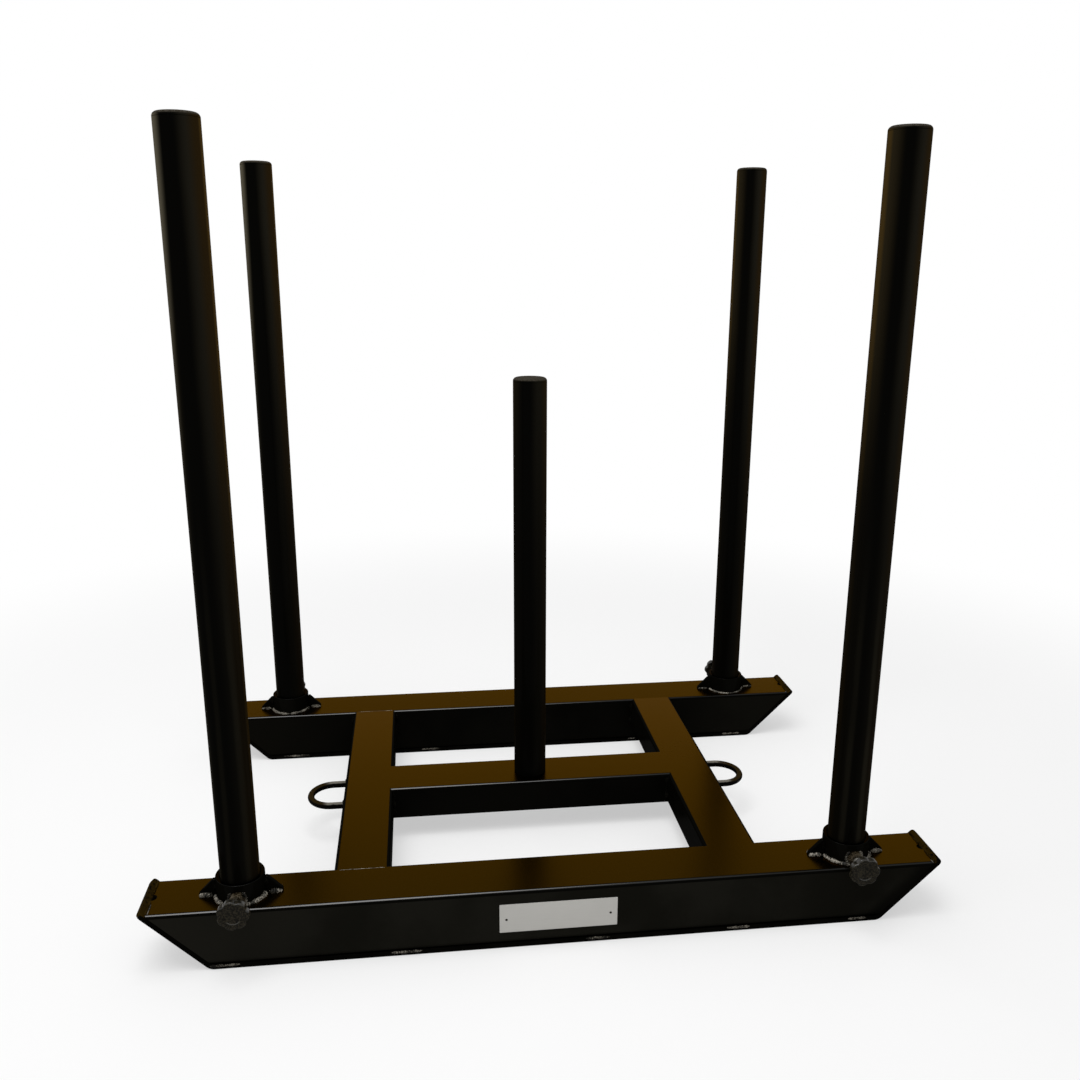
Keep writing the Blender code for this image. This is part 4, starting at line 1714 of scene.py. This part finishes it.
@dataclass(frozen=True)
class View:
    """Camera of the photograph."""

    place: Triple = (-0.15887, -1.44094, 0.84883)
    yaw: float = 6.873
    pitch: float = -15.291
    roll: float = 0.159
    lens: float = 34.185
    sensor: float = 36.0

    def build(self) -> None:
        """Add the camera and make it the scene's."""
        data = bpy.data.cameras.new("photo_view")
        data.sensor_width = self.sensor
        data.lens = self.lens
        camera = added("photo_view", data)
        heading = Matrix.Rotation(-math.radians(self.yaw), 4, "Z")
        tilt = Matrix.Rotation(math.radians(90 + self.pitch), 4, "X")
        level = Matrix.Rotation(math.radians(self.roll), 4, "Z")
        camera.matrix_world = Matrix.Translation(self.place) @ heading @ tilt @ level
        bpy.context.scene.camera = camera


@dataclass(frozen=True)
class Lamp:
    """Soft rectangular lamp that aims at a point."""

    name: str
    place: Triple
    size: Point
    power: float
    aim: Triple = (0.0, 0.0, 0.1)

    def build(self) -> None:
        """Add the lamp."""
        data = bpy.data.lights.new(self.name, "AREA")
        data.shape = "RECTANGLE"
        data.size, data.size_y = self.size
        data.energy = self.power
        lamp = added(self.name, data)
        lamp.location = self.place
        lamp.rotation_euler = (Vector(self.aim) - Vector(self.place)).to_track_quat("-Z", "Y").to_euler()


@dataclass(frozen=True)
class Studio:
    """Pale floor, white surroundings and one soft lamp overhead."""

    ambient: float = 0.54
    floor_size: float = 40.0
    lamps: tuple[Lamp, ...] = (Lamp("overhead_softbox", (-0.6, -0.5, 3.0), (1.6, 2.2), 54.0),)

    def build_floor(self) -> None:
        """Add the floor."""
        half = self.floor_size / 2
        corners = [Vector((x * half, y * half, 0.0)) for x, y in ((-1, -1), (1, -1), (1, 1), (-1, 1))]
        shape = Shape()
        shape.mesh.faces.new([shape.mesh.verts.new(corner) for corner in corners])
        floor = added("floor", shape.data("floor"))
        floor.data.materials.append(FloorPaint("pale_floor", "").material())

    def build_world(self) -> None:
        """Surroundings that are plain white to the camera and in reflections, and dimmer as light."""
        world = bpy.data.worlds.new("studio")
        bpy.context.scene.world = world
        world.use_nodes = True
        kit = NodeKit(world.node_tree)
        seen = kit.node("LightPath", {}, {}, "Is Camera Ray")
        for ray in ("Is Glossy Ray", "Is Transmission Ray"):
            seen = seen.at_least(kit.node("LightPath", {}, {}, ray))
        strength = self.ambient + seen * (1 - self.ambient)
        light = kit.node("Background", {}, {"Color": WHITE, "Strength": strength})
        kit.node("OutputWorld", {}, {"Surface": light})

    def build(self) -> None:
        """Build the studio."""
        View().build()
        for lamp in self.lamps:
            lamp.build()
        self.build_floor()
        self.build_world()
        bpy.context.scene.view_settings.view_transform = "Standard"


# Stitch welds of the skids: place along X and length
FRONT_STITCHES = ((-0.4146, 0.036), (-0.1911, 0.038), (0.0534, 0.031), (0.2396, 0.030), (0.4026, 0.025))
BACK_STITCHES = ((-0.3861, 0.045), (-0.1524, 0.030), (0.2131, 0.013), (0.3993, 0.032))
# Glints of the lip welds, painted highlights: end, and how far towards the front they reach
FRONT_GLINTS = ((Side.LEFT, 0.015, 0.035), (Side.RIGHT, 0.032, 0.038))
BACK_GLINTS = ((Side.RIGHT, 0.034, 0.038),)
# Welds of the sockets: sides with bright beads, whose brightness is a painted highlight, and radius of the
# beads round the collar and at the gussets
SOCKET_WELDS = {
    Corner.FRONT_LEFT: ((Side.LEFT, Side.RIGHT), 0.0030, 0.0033),
    Corner.FRONT_RIGHT: ((Side.LEFT,), 0.0027, 0.0030),
    Corner.BACK_LEFT: ((), 0.0024, 0.0027),
    Corner.BACK_RIGHT: ((Side.LEFT,), 0.0016, 0.0019),
}


def main() -> None:
    """Build every sub-assembly in order."""
    logging.basicConfig(level=logging.INFO, format="%(message)s")
    Studio().build()
    Runner(Skid.FRONT, FRONT_STITCHES, FRONT_GLINTS).build()
    Runner(Skid.BACK, BACK_STITCHES, BACK_GLINTS).build()
    FlatTubes().build()
    for corner, welds in SOCKET_WELDS.items():
        SocketJoint(corner, *welds).build()
        Post(f"{corner.label}_post", f"{corner.label}_post").build()
        Clamp(corner).build()
    Post("centre_post", "frame").build()
    for side in Side:
        TowLoop(side).build()
    Nameplate().build()


if __name__ == "__main__":
    main()
